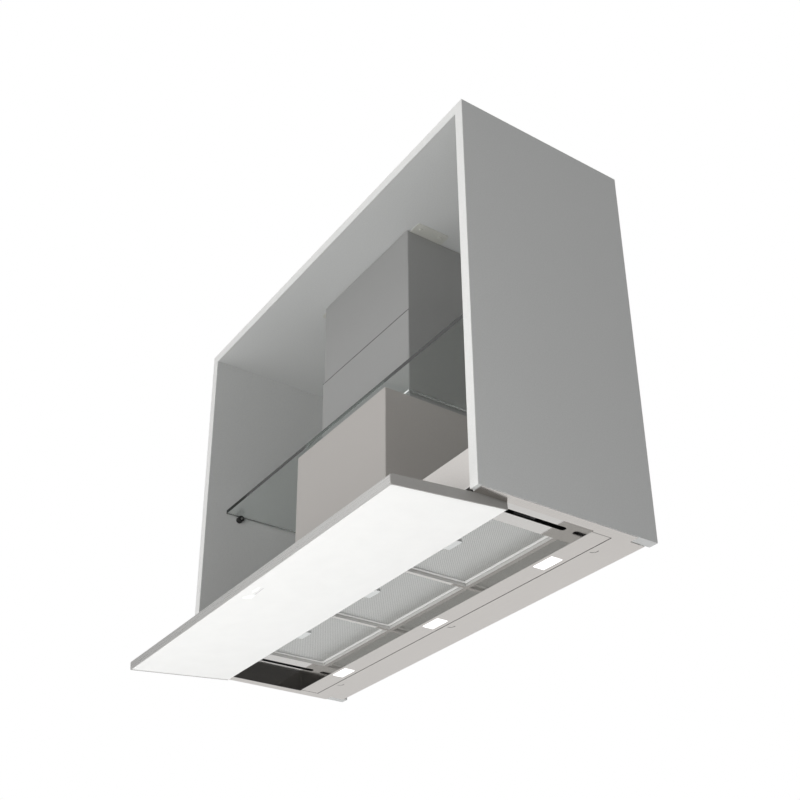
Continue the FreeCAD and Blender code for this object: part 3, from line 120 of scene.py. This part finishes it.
def surface(
        name, dark, light, roughness, grain_mm, stretch=(1, 1, 1), depth_mm=0.0, spread=0.06,
        **sockets):
    """A material whose colour, roughness and relief follow one grain, sized in millimetres."""
    material, tree = new_material(name)
    place = add(tree, "ShaderNodeTexCoord")
    mapped = add(tree, "ShaderNodeMapping", {
        "Vector": place.outputs["Object"], "Scale": stretch})
    grain = add(tree, "ShaderNodeTexNoise", {
        "Vector": mapped.outputs["Vector"], "Scale": 1 / (grain_mm * MM),
        "Detail": GRAIN_DETAIL, "Roughness": GRAIN_ROUGHNESS})
    tone = add(tree, "ShaderNodeValToRGB", {"Fac": grain.outputs["Fac"]})
    for stop, position, colour in zip(tone.color_ramp.elements, GRAIN_SPAN, (dark, light)):
        stop.position = position
        stop.color = linear(colour)
    rough = add(tree, "ShaderNodeMapRange", {
        "Value": grain.outputs["Fac"], "From Min": GRAIN_SPAN[0], "From Max": GRAIN_SPAN[1],
        "To Min": roughness - spread, "To Max": roughness + spread})
    inputs = {"Base Color": tone.outputs["Color"], "Roughness": rough.outputs["Result"]}
    if depth_mm:
        bump = add(tree, "ShaderNodeBump", {
            "Height": grain.outputs["Fac"], "Strength": 1.0, "Distance": depth_mm * MM})
        inputs["Normal"] = bump.outputs["Normal"]
    inputs.update(sockets)
    skin = add(tree, "ShaderNodeBsdfPrincipled", inputs)
    add(tree, "ShaderNodeOutputMaterial", {"Surface": skin.outputs["BSDF"]})
    return material


def dress(material, *nodes):
    """Gives CAD nodes a material."""
    for name in nodes:
        slots = NODES[name].data.materials
        slots.clear()
        slots.append(material)


IOR_PAINT = 1.5
IOR_ABS = 1.53
IOR_RUBBER = 1.52
IOR_GLASS = 1.52
IOR_LAMINATE = 1.55
IOR_POLYCARBONATE = 1.58
print("surface recipe ready")

# %% [markdown]
# ## Boards
# The wall unit is chipboard faced with pale grey melamine paper, pressed against a fine matt plate,
# so it is a little rough and shows no grain. Its front edges carry white ABS edging, which is
# smoother.

# %% Board materials
BOARD_PEEL_MM = 2.5
melamine = surface(
    "melamine_board_pressed_matt", "#C2C3C2", "#C9CAC9", 0.5, BOARD_PEEL_MM,
    depth_mm=0.01, IOR=IOR_PAINT)
edging = surface(
    "abs_edging_extruded_white", "#ECECEA", "#F2F2F0", 0.35, BOARD_PEEL_MM, IOR=IOR_ABS)
hardboard = surface(
    "hardboard_lacquered_grey", "#BBBCBA", "#C4C5C3", 0.55, BOARD_PEEL_MM,
    depth_mm=0.02, IOR=IOR_PAINT)
dress(melamine, "side_panel_left", "side_panel_right", "top_panel", "hanging_rail", "lower_rail")
dress(edging, "edge_bands")
dress(hardboard, "back_panel")
print("boards dressed")

# %% [markdown]
# ## Sheet metal
# The body and the duct covers are powder coated: a matt skin with a faint orange peel. The
# underside is stainless steel. Its fine scratches run along the hood, so the noise is stretched
# that way. Real scratches are about 0.1 mm apart, too fine to show here, so they are drawn at
# half a millimetre and with little contrast. The recess round the filters is polished almost to a
# mirror.

# %% Powder coats
COAT_PEEL_MM = 1.5
SMOOTH_COAT = {"grain_mm": COAT_PEEL_MM, "depth_mm": 0.004, "IOR": IOR_PAINT}
COARSE_COAT = {"grain_mm": COAT_PEEL_MM, "depth_mm": 0.02, "IOR": IOR_PAINT}
cover_coat = surface("steel_powder_coated_mid_grey", "#969695", "#9C9C9B", 0.45, **SMOOTH_COAT)
body_coat = surface("steel_powder_coated_warm_grey", "#B3AFAB", "#B9B5B1", 0.45, **SMOOTH_COAT)
# The tray's coat is much lighter than the body's warm grey: its colour carries a painted sheen, where
# the tray catches the light.
tray_coat = surface("steel_powder_coated_warm_white_painted_sheen", "#E2DEDA", "#E8E4E0", 0.4, **SMOOTH_COAT)
tab_coat = surface("steel_powder_coated_pale", "#BDBDB6", "#C6C6C0", 0.45, **COARSE_COAT)
rail_black = surface("steel_phosphated_black", "#0E0E0E", "#151515", 0.6, **COARSE_COAT)
dress(cover_coat, "duct_cover_upper")
dress(body_coat, "housing_wrap")
dress(tray_coat, "tray_shell")
dress(tab_coat, "duct_brackets", "bracket_screws")
dress(rail_black, "visor_rails")
print("coated sheet dressed")

# %% Bare metal
SCRATCH_MM = 0.5
LENGTHWISE = (0.01, 1, 1)
SCRATCHED = {"grain_mm": SCRATCH_MM, "stretch": LENGTHWISE}
SPANGLE_MM = 9.0
under_steel = surface(
    "stainless_steel_satin_underside", "#CBC7C3", "#D2CECA", 0.18, **SCRATCHED,
    depth_mm=0.0006, spread=0.03, Metallic=1.0)
recess_steel = surface(
    "stainless_steel_polished_recess", "#CFCDCA", "#D6D4D1", 0.09, **SCRATCHED,
    depth_mm=0.0003, spread=0.02, Metallic=1.0)
# The lamp panel's upright walls take a darker copy of the polished steel: painted shade, for the dark
# reflection along the recess's rear wall.
lip_steel = surface(
    "stainless_steel_polished_lip_painted_shade", "#B7B5B2", "#BFBDBA", 0.14, **SCRATCHED,
    depth_mm=0.0003, spread=0.02, Metallic=1.0)
collar_metal = surface(
    "stainless_steel_pickled_collar", "#C9C8C6", "#D2D1CF", 0.4, **SCRATCHED,
    depth_mm=0.0006, Metallic=0.4)
zinc = surface("steel_sheet_galvanised", "#9A9C9E", "#B2B4B6", 0.42, SPANGLE_MM, Metallic=1.0)
bright_bar = surface("steel_bar_drawn", "#9B9B9B", "#A8A8A8", 0.25, **SCRATCHED, Metallic=1.0)
dress(zinc, "housing_back", "housing_top", "motor_bracket")
dress(
    bright_bar, "damper_rods", "motor_screws", "motor_shaft", "hinge_pins", "shelf_pegs",
    "visor_arms")
print("bare metal dressed")

# %% [markdown]
# ## Moulded plastics and small parts
# Glands, flaps, scroll and latches are moulded ABS with a fine sparked texture.

# %% Plastics
SPARK_MM = 0.8
SPARKED = {"grain_mm": SPARK_MM, "depth_mm": 0.02}
FINE_SPARKED = {"grain_mm": SPARK_MM, "depth_mm": 0.01}
black_abs = surface("abs_moulded_black", "#161616", "#1E1E1E", 0.5, **SPARKED, IOR=IOR_ABS)
grey_abs = surface("abs_moulded_grey", "#5A5B5C", "#646566", 0.5, **SPARKED, IOR=IOR_ABS)
latch_abs = surface("abs_moulded_light_grey", "#DADCDB", "#E2E4E3", 0.4, **FINE_SPARKED, IOR=IOR_ABS)
white_abs = surface("abs_moulded_white", "#DEDEDC", "#E6E6E4", 0.45, **FINE_SPARKED, IOR=IOR_ABS)
cap_abs = surface("abs_moulded_cap", "#94928F", "#9E9C99", 0.35, **FINE_SPARKED, IOR=IOR_ABS)
rubber = surface("rubber_moulded_black", "#131313", "#1A1A1A", 0.7, **SPARKED, IOR=IOR_RUBBER)
dress(black_abs, "outlet_spigot", "impeller", "cable_gland", "visor_sliders")
dress(
    grey_abs, "damper_flap_front", "damper_flap_rear", "scroll_left", "scroll_right",
    "terminal_box", "terminal_lid")
dress(latch_abs, *[f"filter_{side}_latch" for side in SIDES])
dress(white_abs, "led_modules")
dress(cap_abs, "visor_end_caps")
dress(rubber, "peg_rings")
print("plastics dressed")

# %% Motor and circuit board
WEAVE_MM = 1.0
lacquer = surface("motor_lacquer_sprayed", "#2B2C2E", "#343538", 0.45, **COARSE_COAT)
laminate = surface(
    "circuit_board_laminate", "#0F3A22", "#154A2C", 0.4, WEAVE_MM, IOR=IOR_LAMINATE)
dress(lacquer, "motor")
dress(laminate, "touch_board")
print("motor and circuit board dressed")

# %% [markdown]
# ## Visor
# The visor is a pan of painted steel behind a pane of toughened glass, printed white on its
# back. The print shows through a clear, glossy face. A profile of satin anodised aluminium closes
# its front.

# %% Visor materials
PRINT_CLOUD_MM = 40.0
CLEAR_FACE = {"Coat Weight": 0.6, "Coat Roughness": 0.03}
pane_white = surface(
    "toughened_glass_printed_white", "#F3F3F1", "#F6F6F4", 0.08, PRINT_CLOUD_MM, spread=0.01,
    IOR=IOR_GLASS, **CLEAR_FACE)
pan_paint = surface("steel_powder_coated_grey", "#807E7C", "#8A8886", 0.45, **COARSE_COAT)
anodised = surface(
    "aluminium_anodised_satin", "#CBCAC8", "#D4D3D1", 0.3, **SCRATCHED, depth_mm=0.003, Metallic=1.0)
dress(pan_paint, "visor_pan")
dress(anodised, "visor_front_profile")
print("visor dressed")

# %% [markdown]
# ## Pieces with more than one finish
# A CAD solid has one material, so a piece that needs two is a copy of its mesh, welded along its
# edges, whose faces choose between them. The copy can also be split along its length, and chosen
# edges can be rounded off: the rim of a lower face, or upright corners.

# %% Faces and edges to choose from
FLAT_COSINE = 0.9
LEVEL_COSINE = 0.5
UPRIGHT_SHARE = 0.99


def is_level(face):
    """True for a face that looks up or down."""
    return abs(face.normal.z) > LEVEL_COSINE


def level_or_upright(face):
    """0 for a level face, 1 for an upright one."""
    return 0 if is_level(face) else 1


def one_finish(face):
    """0 for every face."""
    return 0


def lower_rim(edge):
    """Outer edges round a lower face."""
    heights = [face.normal.z for face in edge.link_faces]
    below = any(z < -FLAT_COSINE for z in heights)
    beside = any(abs(z) < LEVEL_COSINE for z in heights)
    return edge.is_convex and below and beside


def upright_corner(edge):
    """Outer edges that stand upright."""
    first, second = (vertex.co for vertex in edge.verts)
    return edge.is_convex and abs(first.z - second.z) > UPRIGHT_SHARE * edge.calc_length()


# %% Copies
WELD_MM = 0.005
SAME_PLANE = math.radians(0.5)
ROUND_STEPS = 2
ROUND_PROFILE = 0.5


def copy_of(node, name, materials, pick, splits=(), rounds=None, round_mm=0.0):
    """A copy of a CAD node's mesh that stands for it. pick gives a face its material's number."""
    piece = in_scene(name, NODES[node].data.copy())
    shape = bmesh.new()
    shape.from_mesh(piece.data)
    bmesh.ops.remove_doubles(shape, verts=shape.verts, dist=WELD_MM * MM)
    bmesh.ops.dissolve_limit(shape, angle_limit=SAME_PLANE, verts=shape.verts, edges=shape.edges)
    for x in splits:
        parts = shape.verts[:] + shape.edges[:] + shape.faces[:]
        bmesh.ops.bisect_plane(shape, geom=parts, plane_co=(x, 0, 0), plane_no=(1, 0, 0))
    if rounds:
        bmesh.ops.bevel(
            shape, geom=[edge for edge in shape.edges if rounds(edge)], offset=round_mm * MM,
            segments=ROUND_STEPS, profile=ROUND_PROFILE, affect="EDGES", clamp_overlap=True)
    shape.to_mesh(piece.data)
    shape.free()
    piece.data.materials.clear()
    for material in materials:
        piece.data.materials.append(material)
    for face in piece.data.polygons:
        face.use_smooth = False
        face.material_index = pick(face)
    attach(piece, BODY_OF[node])
    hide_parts(node)
    print(name, len(piece.data.polygons), "faces")
    return piece


# %% [markdown]
# ## Glass shelf
# Float glass is nearly clear through its face and dark green through its edge, because the iron
# in it has far more glass to colour there. Cycles would need a long path for that, so the edges
# get a tinted glass of their own. It is paler in front of the duct cover, where the pane is only
# a narrow strip. Shadow rays pass almost freely, so that the shelf doesn't darken what is behind.

# %% Shelf
WAVE_MM = 60
WAVE_DEPTH_MM = 0.05
WAVE_STRENGTH = 0.2
SHADOW_ALPHA = 0.12
GROUND_ROUGHNESS = 0.12


def glass(name, hex_colour, roughness):
    """Clear glass with the faint waves of a float pane."""
    material, tree = new_material(name)
    place = add(tree, "ShaderNodeTexCoord")
    waves = add(tree, "ShaderNodeTexNoise", {
        "Vector": place.outputs["Object"], "Scale": 1 / (WAVE_MM * MM)})
    bump = add(tree, "ShaderNodeBump", {
        "Height": waves.outputs["Fac"], "Strength": WAVE_STRENGTH, "Distance": WAVE_DEPTH_MM * MM})
    path = add(tree, "ShaderNodeLightPath")
    alpha = blend(tree, path.outputs["Is Shadow Ray"], 1.0, SHADOW_ALPHA)
    skin = add(tree, "ShaderNodeBsdfPrincipled", {
        "Base Color": linear(hex_colour), "Roughness": roughness, "IOR": IOR_GLASS,
        "Transmission Weight": 1.0, "Normal": bump.outputs["Normal"],
        "Alpha": alpha.outputs["Result"]})
    add(tree, "ShaderNodeOutputMaterial", {"Surface": skin.outputs["BSDF"]})
    return material


shelf_face = glass("float_glass_clear", "#F4F8F6", 0.0)
shelf_edge = glass("float_glass_edge_ground", "#1E2B25", GROUND_ROUGHNESS)
shelf_edge_thin = glass("float_glass_edge_of_strip", "#A9BDB3", GROUND_ROUGHNESS)
cover_low, cover_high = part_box("duct_cover_lower")


def shelf_part(face):
    """0 for the shelf's faces, 2 for its edge before the duct cover, 1 for its other edges."""
    if is_level(face):
        return 0
    return 2 if cover_low.x < face.center.x < cover_high.x else 1


shelf = copy_of(
    "glass_shelf", "shelf_pane", (shelf_face, shelf_edge, shelf_edge_thin), shelf_part,
    splits=(cover_low.x, cover_high.x))

# %% Visor pane with ground edges
ARRIS_MM = 1.2
pane = copy_of(
    "visor_glass", "visor_pane", (pane_white,), one_finish, rounds=lower_rim, round_mm=ARRIS_MM)

# %% Underside
BESIDE_FILTER_MM = 1.0
FILTER_BOXES = [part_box(f"filter_{side}_frame") for side in SIDES]


def collar_part(face):
    """1 for the walls of the collars round the filters, 0 for the rest of the ceiling."""
    spot = face.center
    near = BESIDE_FILTER_MM * MM
    beside = any(
        low.x - near < spot.x < high.x + near and low.y - near < spot.y < high.y + near
        for low, high in FILTER_BOXES)
    return 1 if beside and not is_level(face) else 0


FOLD_MM = 0.8
UNFOLDED_MM = 0.0
for node, name, materials, pick, fold_mm in (
        ("base_frame", "base_frame_folded", (under_steel, recess_steel), level_or_upright, FOLD_MM),
        ("led_panel", "led_panel_folded", (under_steel, lip_steel), level_or_upright, FOLD_MM),
        ("recess_ceiling", "recess_ceiling_collared", (recess_steel, collar_metal), collar_part,
         UNFOLDED_MM)):
    folds = lower_rim if fold_mm else None
    copy_of(node, name, materials, pick, rounds=folds, round_mm=fold_mm)

# %% Folds of the lower duct cover
COVER_FOLD_MM = 1.6
cover = copy_of(
    "duct_cover_lower", "duct_cover_lower_folded", (cover_coat,), one_finish,
    rounds=upright_corner, round_mm=COVER_FOLD_MM)

# %% [markdown]
# ## Lamps
# Each lamp is a frosted cover with a light module above it. The cover glows evenly.

# %% Lamps
FROST_MM = 1.0
FROST_ROUGHNESS = (0.4, 0.6)
LAMP_GLOW = 1.2
lamp_cover, lamp_tree = new_material("polycarbonate_frosted_lit")
lamp_place = add(lamp_tree, "ShaderNodeTexCoord")
lamp_frost = add(lamp_tree, "ShaderNodeTexNoise", {
    "Vector": lamp_place.outputs["Object"], "Scale": 1 / (FROST_MM * MM)})
lamp_rough = blend(lamp_tree, lamp_frost.outputs["Fac"], *FROST_ROUGHNESS)
lamp_skin = add(lamp_tree, "ShaderNodeBsdfPrincipled", {
    "Base Color": linear("#FAFAF8"), "Roughness": lamp_rough.outputs["Result"],
    "IOR": IOR_POLYCARBONATE, "Emission Color": linear("#FFFFFF"), "Emission Strength": LAMP_GLOW})
add(lamp_tree, "ShaderNodeOutputMaterial", {"Surface": lamp_skin.outputs["BSDF"]})
dress(lamp_cover, "led_lenses")
print("lamps dressed")

# %% [markdown]
# ## Grease filters
# A filter is layers of expanded aluminium foil in a frame of the same metal. The foil is slit and
# stretched, so it is a sheet of diamonds that share their corners. The lattice below is built
# like that: each diamond is a ring of four flat strands round its hole.

# %% Filter materials
FOIL_GRAIN_MM = 3.0
LAYER_GRAIN_MM = 2.0
foil = surface(
    "aluminium_foil_expanded", "#D2D3D1", "#DADBD9", 0.34, FOIL_GRAIN_MM, Metallic=0.85)
# The inner layers are one slab in a darker copy of the foil's colour: painted shade deep inside the
# filter.
foil_deep = surface(
    "aluminium_foil_inner_layers_painted_shade", "#B0B1AF", "#C0C1BF", 0.45, LAYER_GRAIN_MM,
    depth_mm=0.1, Metallic=1.0)
frame_foil = surface(
    "aluminium_anodised_pale", "#E6E6E4", "#ECECEA", 0.3, **SCRATCHED,
    depth_mm=0.0005, spread=0.03, Metallic=0.3)
print("filter materials ready")

# %% Filters
DIAMOND_WIDE_MM = 6.0
DIAMOND_DEEP_MM = 3.6
HOLE_SHARE = 0.62
FOIL_MM = 0.2
NECK_HALF_MM = 4.8
NECK_BEFORE_MM = 6.0
JOIN_MM = 0.01


def expanded_foil(name, low, high, latch_low, latch_high):
    """A sheet of diamonds below a filter pad, open where the latch's neck slides."""
    columns = round((high.x - low.x) / (DIAMOND_WIDE_MM * MM / 2))
    rows = round((high.y - low.y) / (DIAMOND_DEEP_MM * MM / 2))
    half_x = (high.x - low.x) / columns
    half_y = (high.y - low.y) / rows
    turns = [(half_x, 0), (0, half_y), (-half_x, 0), (0, -half_y)]
    latch_x = (latch_low.x + latch_high.x) / 2
    neck_front = latch_low.y - NECK_BEFORE_MM * MM
    neck_rear = latch_low.y + NECK_BEFORE_MM * MM + half_y
    shape = bmesh.new()
    for row in range(1, rows):
        for column in range(1, columns):
            if (row + column) % 2:
                continue
            x = low.x + half_x * column
            y = low.y + half_y * row
            if abs(x - latch_x) < NECK_HALF_MM * MM + half_x and neck_front < y < neck_rear:
                continue
            outer, inner = (
                [shape.verts.new((x + dx * share, y + dy * share, low.z)) for dx, dy in turns]
                for share in (1, HOLE_SHARE))
            for k in range(4):
                following = (k + 1) % 4
                shape.faces.new((outer[following], outer[k], inner[k], inner[following]))
    bmesh.ops.remove_doubles(shape, verts=shape.verts, dist=JOIN_MM * MM)
    mesh = bpy.data.meshes.new(name)
    shape.to_mesh(mesh)
    shape.free()
    mesh.materials.append(foil)
    piece = in_scene(name, mesh)
    thick = piece.modifiers.new("foil", "SOLIDIFY")
    thick.thickness = FOIL_MM * MM
    thick.offset = 1
    return piece


for side in SIDES:
    node = f"filter_{side}_mesh"
    dress(foil_deep, node)
    dress(frame_foil, f"filter_{side}_frame")
    low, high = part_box(node)
    face = expanded_foil(f"filter_{side}_foil", low, high, *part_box(f"filter_{side}_latch"))
    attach(face, BODY_OF[node])
    print(face.name, len(face.data.polygons), "strands")

# %% [markdown]
# ## Small marks
# The touch keys are printed on the pane's lower face: two white fields and a fine grey line.
# A thin grey strip along the top edge of the lower duct cover, against the upper one, is painted
# shadow: it draws the dark line at the seam between the covers.

# %% Prism
def prism(name, outline, low, high, material):
    """A closed prism on an outline of x, y points that runs counterclockwise."""
    count = len(outline)
    points = [(x, y, low) for x, y in outline] + [(x, y, high) for x, y in outline]
    ends = [tuple(range(count - 1, -1, -1)), tuple(range(count, count * 2))]
    sides = [(k, (k + 1) % count, (k + 1) % count + count, k + count) for k in range(count)]
    mesh = bpy.data.meshes.new(name)
    mesh.from_pydata(points, [], ends + sides)
    mesh.materials.append(material)
    return in_scene(name, mesh)


# %% Touch keys
ink_white = surface("ink_printed_white", "#FCFCFB", "#FEFEFD", 0.3, SPARK_MM, IOR=IOR_PAINT)
ink_grey = surface("ink_printed_grey", "#A9A6AA", "#B2AFB3", 0.3, SPARK_MM, IOR=IOR_PAINT)
INK_MM = 0.05
KEY_FIELD = [(-25, -452), (-17, -456), (-4, -450), (2, -444), (-2, -440), (-20, -439)]
KEY_BAR = [(2, -450), (12, -455), (30, -454), (32, -450), (14, -447)]
KEY_LINE = [(-3, -443.2), (30, -444.2), (30, -443), (-3, -442)]
lower_face = max(
    (face for face in NODES["visor_glass"].data.polygons if face.normal.z < -FLAT_COSINE),
    key=lambda face: face.area)
tilt = Vector((0, 0, -1)).rotation_difference(lower_face.normal).to_matrix().to_4x4()
for name, outline, ink in (
        ("touch_key_field", KEY_FIELD, ink_white),
        ("touch_key_bar", KEY_BAR, ink_white),
        ("touch_key_line", KEY_LINE, ink_grey)):
    middle_x = sum(x for x, y in outline) / len(outline)
    middle_y = sum(y for x, y in outline) / len(outline)
    flat = [((x - middle_x) * MM, (y - middle_y) * MM) for x, y in outline]
    mark = prism(name, flat, -INK_MM * MM, 0, ink)
    run = (middle_y * MM - lower_face.center.y) * lower_face.normal.y / lower_face.normal.z
    spot = Vector((middle_x * MM, middle_y * MM, lower_face.center.z - run))
    mark.data.transform(Matrix.Translation(spot) @ tilt)
    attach(mark, BODY_OF["visor_glass"])
print("touch keys printed")

# %% Painted shadow at the cover seam
# A grey strip stands a little above the lower cover's top edge and paints the shadow line at the seam
# between the covers.
seal_grey = surface("grey_strip_painted_seam_shadow", "#5C5C5B", "#666665", 0.6, **FINE_SPARKED, IOR=IOR_RUBBER)
LIP_MM = 1.2
NEST_GAP_MM = 0.4
upper_low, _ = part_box("duct_cover_upper")
lip_rear = upper_low.y - NEST_GAP_MM * MM
lip = prism("cover_seam_painted_shadow", [
    (cover_low.x, cover_low.y), (cover_high.x, cover_low.y),
    (cover_high.x, lip_rear), (cover_low.x, lip_rear),
], cover_high.z, cover_high.z + LIP_MM * MM, seal_grey)
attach(lip, BODY_OF["duct_cover_lower"])
print("sealing lip made")

# %% [markdown]
# ## Stage, light and camera
# The unit hangs on a wall, so the pale floor lies well below it. A soft key stands at the front
# right, beside the camera, so that what is nearer to it is lighter, and a weaker one at the front
# left. A wide glow comes up from the floor in front, and a weak fill stands behind. The camera sees
# the paper floor and the world nearly white. Polished metal sees them so too, but darker on the
# right of the floor and far on the left.

# %% World
AMBIENT = 0.27
BACKDROP = 1.0
DARK_SIDE = Vector((-0.97, -0.1, 0.2)).normalized()
DARK_FROM_COSINE = 0.82
DARK_FULL_COSINE = 0.97
DARK_SIDE_BACKDROP = 0.4


def seen_directly(tree, path):
    """1 for rays from the camera, straight or through glass, and 0 for others."""
    return add(tree, "ShaderNodeMath", {
        0: path.outputs["Is Camera Ray"], 1: path.outputs["Is Transmission Ray"]},
        operation="MAXIMUM")


world = bpy.data.worlds.new("studio")
bpy.context.scene.world = world
world.use_nodes = True
world.node_tree.nodes.clear()
sky = world.node_tree
path = add(sky, "ShaderNodeLightPath")
way = add(sky, "ShaderNodeTexCoord")
lean = add(sky, "ShaderNodeVectorMath", {
    0: way.outputs["Generated"], 1: DARK_SIDE}, operation="DOT_PRODUCT")
mirrored = add(sky, "ShaderNodeMapRange", {
    "Value": lean.outputs["Value"], "From Min": DARK_FROM_COSINE, "From Max": DARK_FULL_COSINE,
    "To Min": BACKDROP, "To Max": DARK_SIDE_BACKDROP})
unseen = blend(sky, path.outputs["Is Glossy Ray"], AMBIENT, mirrored.outputs["Result"])
seen = seen_directly(sky, path)
strength = blend(sky, seen.outputs["Value"], unseen.outputs["Result"], BACKDROP)
backdrop = add(sky, "ShaderNodeBackground", {
    "Color": linear("#FFFFFF"), "Strength": strength.outputs["Result"]})
add(sky, "ShaderNodeOutputWorld", {"Surface": backdrop.outputs["Background"]})
print("world ready")

# %% Studio lamps
FLOOR_Z = -1.75
GLOW_RISE = 0.04
OBJECT_MIDDLE = Vector((0, -0.2, -0.3))
GLOW_SPOT = Vector((-0.3, -2.0, FLOOR_Z + GLOW_RISE))
ABOVE_GLOW = GLOW_SPOT + Vector((0, 0, 1))

# name, spot, aim, diameter in metres, watts, seen in polished metal
STUDIO_LAMPS = (
    ("key_front_right", (1.35, -2.35, -1.0), OBJECT_MIDDLE, 1.4, 21, True),
    ("key_front_left", (-1.9, -2.6, 0.0), OBJECT_MIDDLE, 1.8, 8, False),
    ("glow_from_floor", GLOW_SPOT, ABOVE_GLOW, 4.4, 49, False),
    ("fill_behind_above", (-1.5, 2.5, 2.0), OBJECT_MIDDLE, 2.5, 25, True))
for name, spot, aim, diameter, watts, in_metal in STUDIO_LAMPS:
    lamp = bpy.data.lights.new(name, "AREA")
    lamp.shape = "DISK"
    lamp.size = diameter
    lamp.energy = watts
    holder = in_scene(name, lamp)
    holder.visible_camera = False
    holder.visible_glossy = in_metal
    holder.location = spot
    holder.rotation_euler = (Vector(aim) - Vector(spot)).to_track_quat("-Z", "Y").to_euler()
print(len(STUDIO_LAMPS), "studio lamps")

# %% Floor paper
PALE = 0.62
PALE_IN_METAL = 0.48
PALE_FROM_X = -1.2
PALE_GONE_X = 1.6
PAPER_TONE = linear("#F4F4F4")[0]
PAPER_TONE_SHADED = linear("#606060")[0]
SHADE_FROM_X = 0.6
SHADE_FULL_X = 1.9
PAPER_ROUGHNESS = 0.9
paper, paper_tree = new_material("floor_paper_pale")
paper_path = add(paper_tree, "ShaderNodeLightPath")
paper_place = add(paper_tree, "ShaderNodeTexCoord")
paper_across = add(paper_tree, "ShaderNodeSeparateXYZ", {"Vector": paper_place.outputs["Object"]})


def in_mirrors_only(from_x, to_x, from_value, to_value):
    """A value that changes along X for rays from polished metal, and is 0 for others."""
    ramp = add(paper_tree, "ShaderNodeMapRange", {
        "Value": paper_across.outputs["X"], "From Min": from_x, "From Max": to_x,
        "To Min": from_value, "To Max": to_value})
    return add(paper_tree, "ShaderNodeMath", {
        0: paper_path.outputs["Is Glossy Ray"], 1: ramp.outputs["Result"]}, operation="MULTIPLY")


paper_in_metal = in_mirrors_only(PALE_FROM_X, PALE_GONE_X, PALE_IN_METAL, 0.0)
paper_shade = in_mirrors_only(SHADE_FROM_X, SHADE_FULL_X, 0.0, 1.0)
paper_tone = blend(paper_tree, paper_shade.outputs["Value"], PAPER_TONE, PAPER_TONE_SHADED)
paper_seen = seen_directly(paper_tree, paper_path)
paper_strength = blend(
    paper_tree, paper_seen.outputs["Value"], paper_in_metal.outputs["Value"], PALE)
paper_skin = add(paper_tree, "ShaderNodeBsdfPrincipled", {
    "Base Color": paper_tone.outputs["Result"], "Roughness": PAPER_ROUGHNESS,
    "Emission Color": linear("#FFFFFF"), "Emission Strength": paper_strength.outputs["Result"]})
add(paper_tree, "ShaderNodeOutputMaterial", {"Surface": paper_skin.outputs["BSDF"]})
print("floor paper ready")

# %% Floor
REACH = 8.0
floor_mesh = bpy.data.meshes.new("floor")
floor_mesh.from_pydata([
    (-REACH, -REACH, FLOOR_Z), (REACH, -REACH, FLOOR_Z),
    (REACH, REACH, FLOOR_Z), (-REACH, REACH, FLOOR_Z),
], [], [(0, 1, 2, 3)])
floor_mesh.materials.append(paper)
floor = in_scene("floor", floor_mesh)
print("floor at", FLOOR_Z, "m")

# %% [markdown]
# ## Camera
# The photograph's principal point isn't its middle, as after a crop, and the lens shift stands for
# that. Focal length, angles and place come from a fit of the unit's straight edges.

# %% Camera
FRAME_PX = 800
FOCAL_PX = 1207.24
PRINCIPAL_PX = (395.37, 498.96)
AZIMUTH = math.radians(55.715)
ELEVATION = math.radians(-27.815)
ROLL = math.radians(-0.394)
CAMERA_SPOT = Vector((1.58482, -1.25241, -1.44111))
SENSOR_MM = 36.0

camera_data = bpy.data.cameras.new("photo_camera")
camera = in_scene("photo_camera", camera_data)
camera_data.sensor_width = SENSOR_MM
camera_data.lens = FOCAL_PX / FRAME_PX * SENSOR_MM
camera_data.shift_x = (FRAME_PX / 2 - PRINCIPAL_PX[0]) / FRAME_PX
camera_data.shift_y = (PRINCIPAL_PX[1] - FRAME_PX / 2) / FRAME_PX
forward = Vector((
    -math.sin(AZIMUTH) * math.cos(ELEVATION),
    math.cos(AZIMUTH) * math.cos(ELEVATION),
    -math.sin(ELEVATION)))
level = forward.to_track_quat("-Z", "Y").to_matrix().to_4x4()
camera.matrix_world = Matrix.Translation(CAMERA_SPOT) @ level @ Matrix.Rotation(ROLL, 4, "Z")
bpy.context.scene.camera = camera
bpy.context.scene.view_settings.view_transform = "Standard"
print("camera at", [round(v, 3) for v in CAMERA_SPOT])
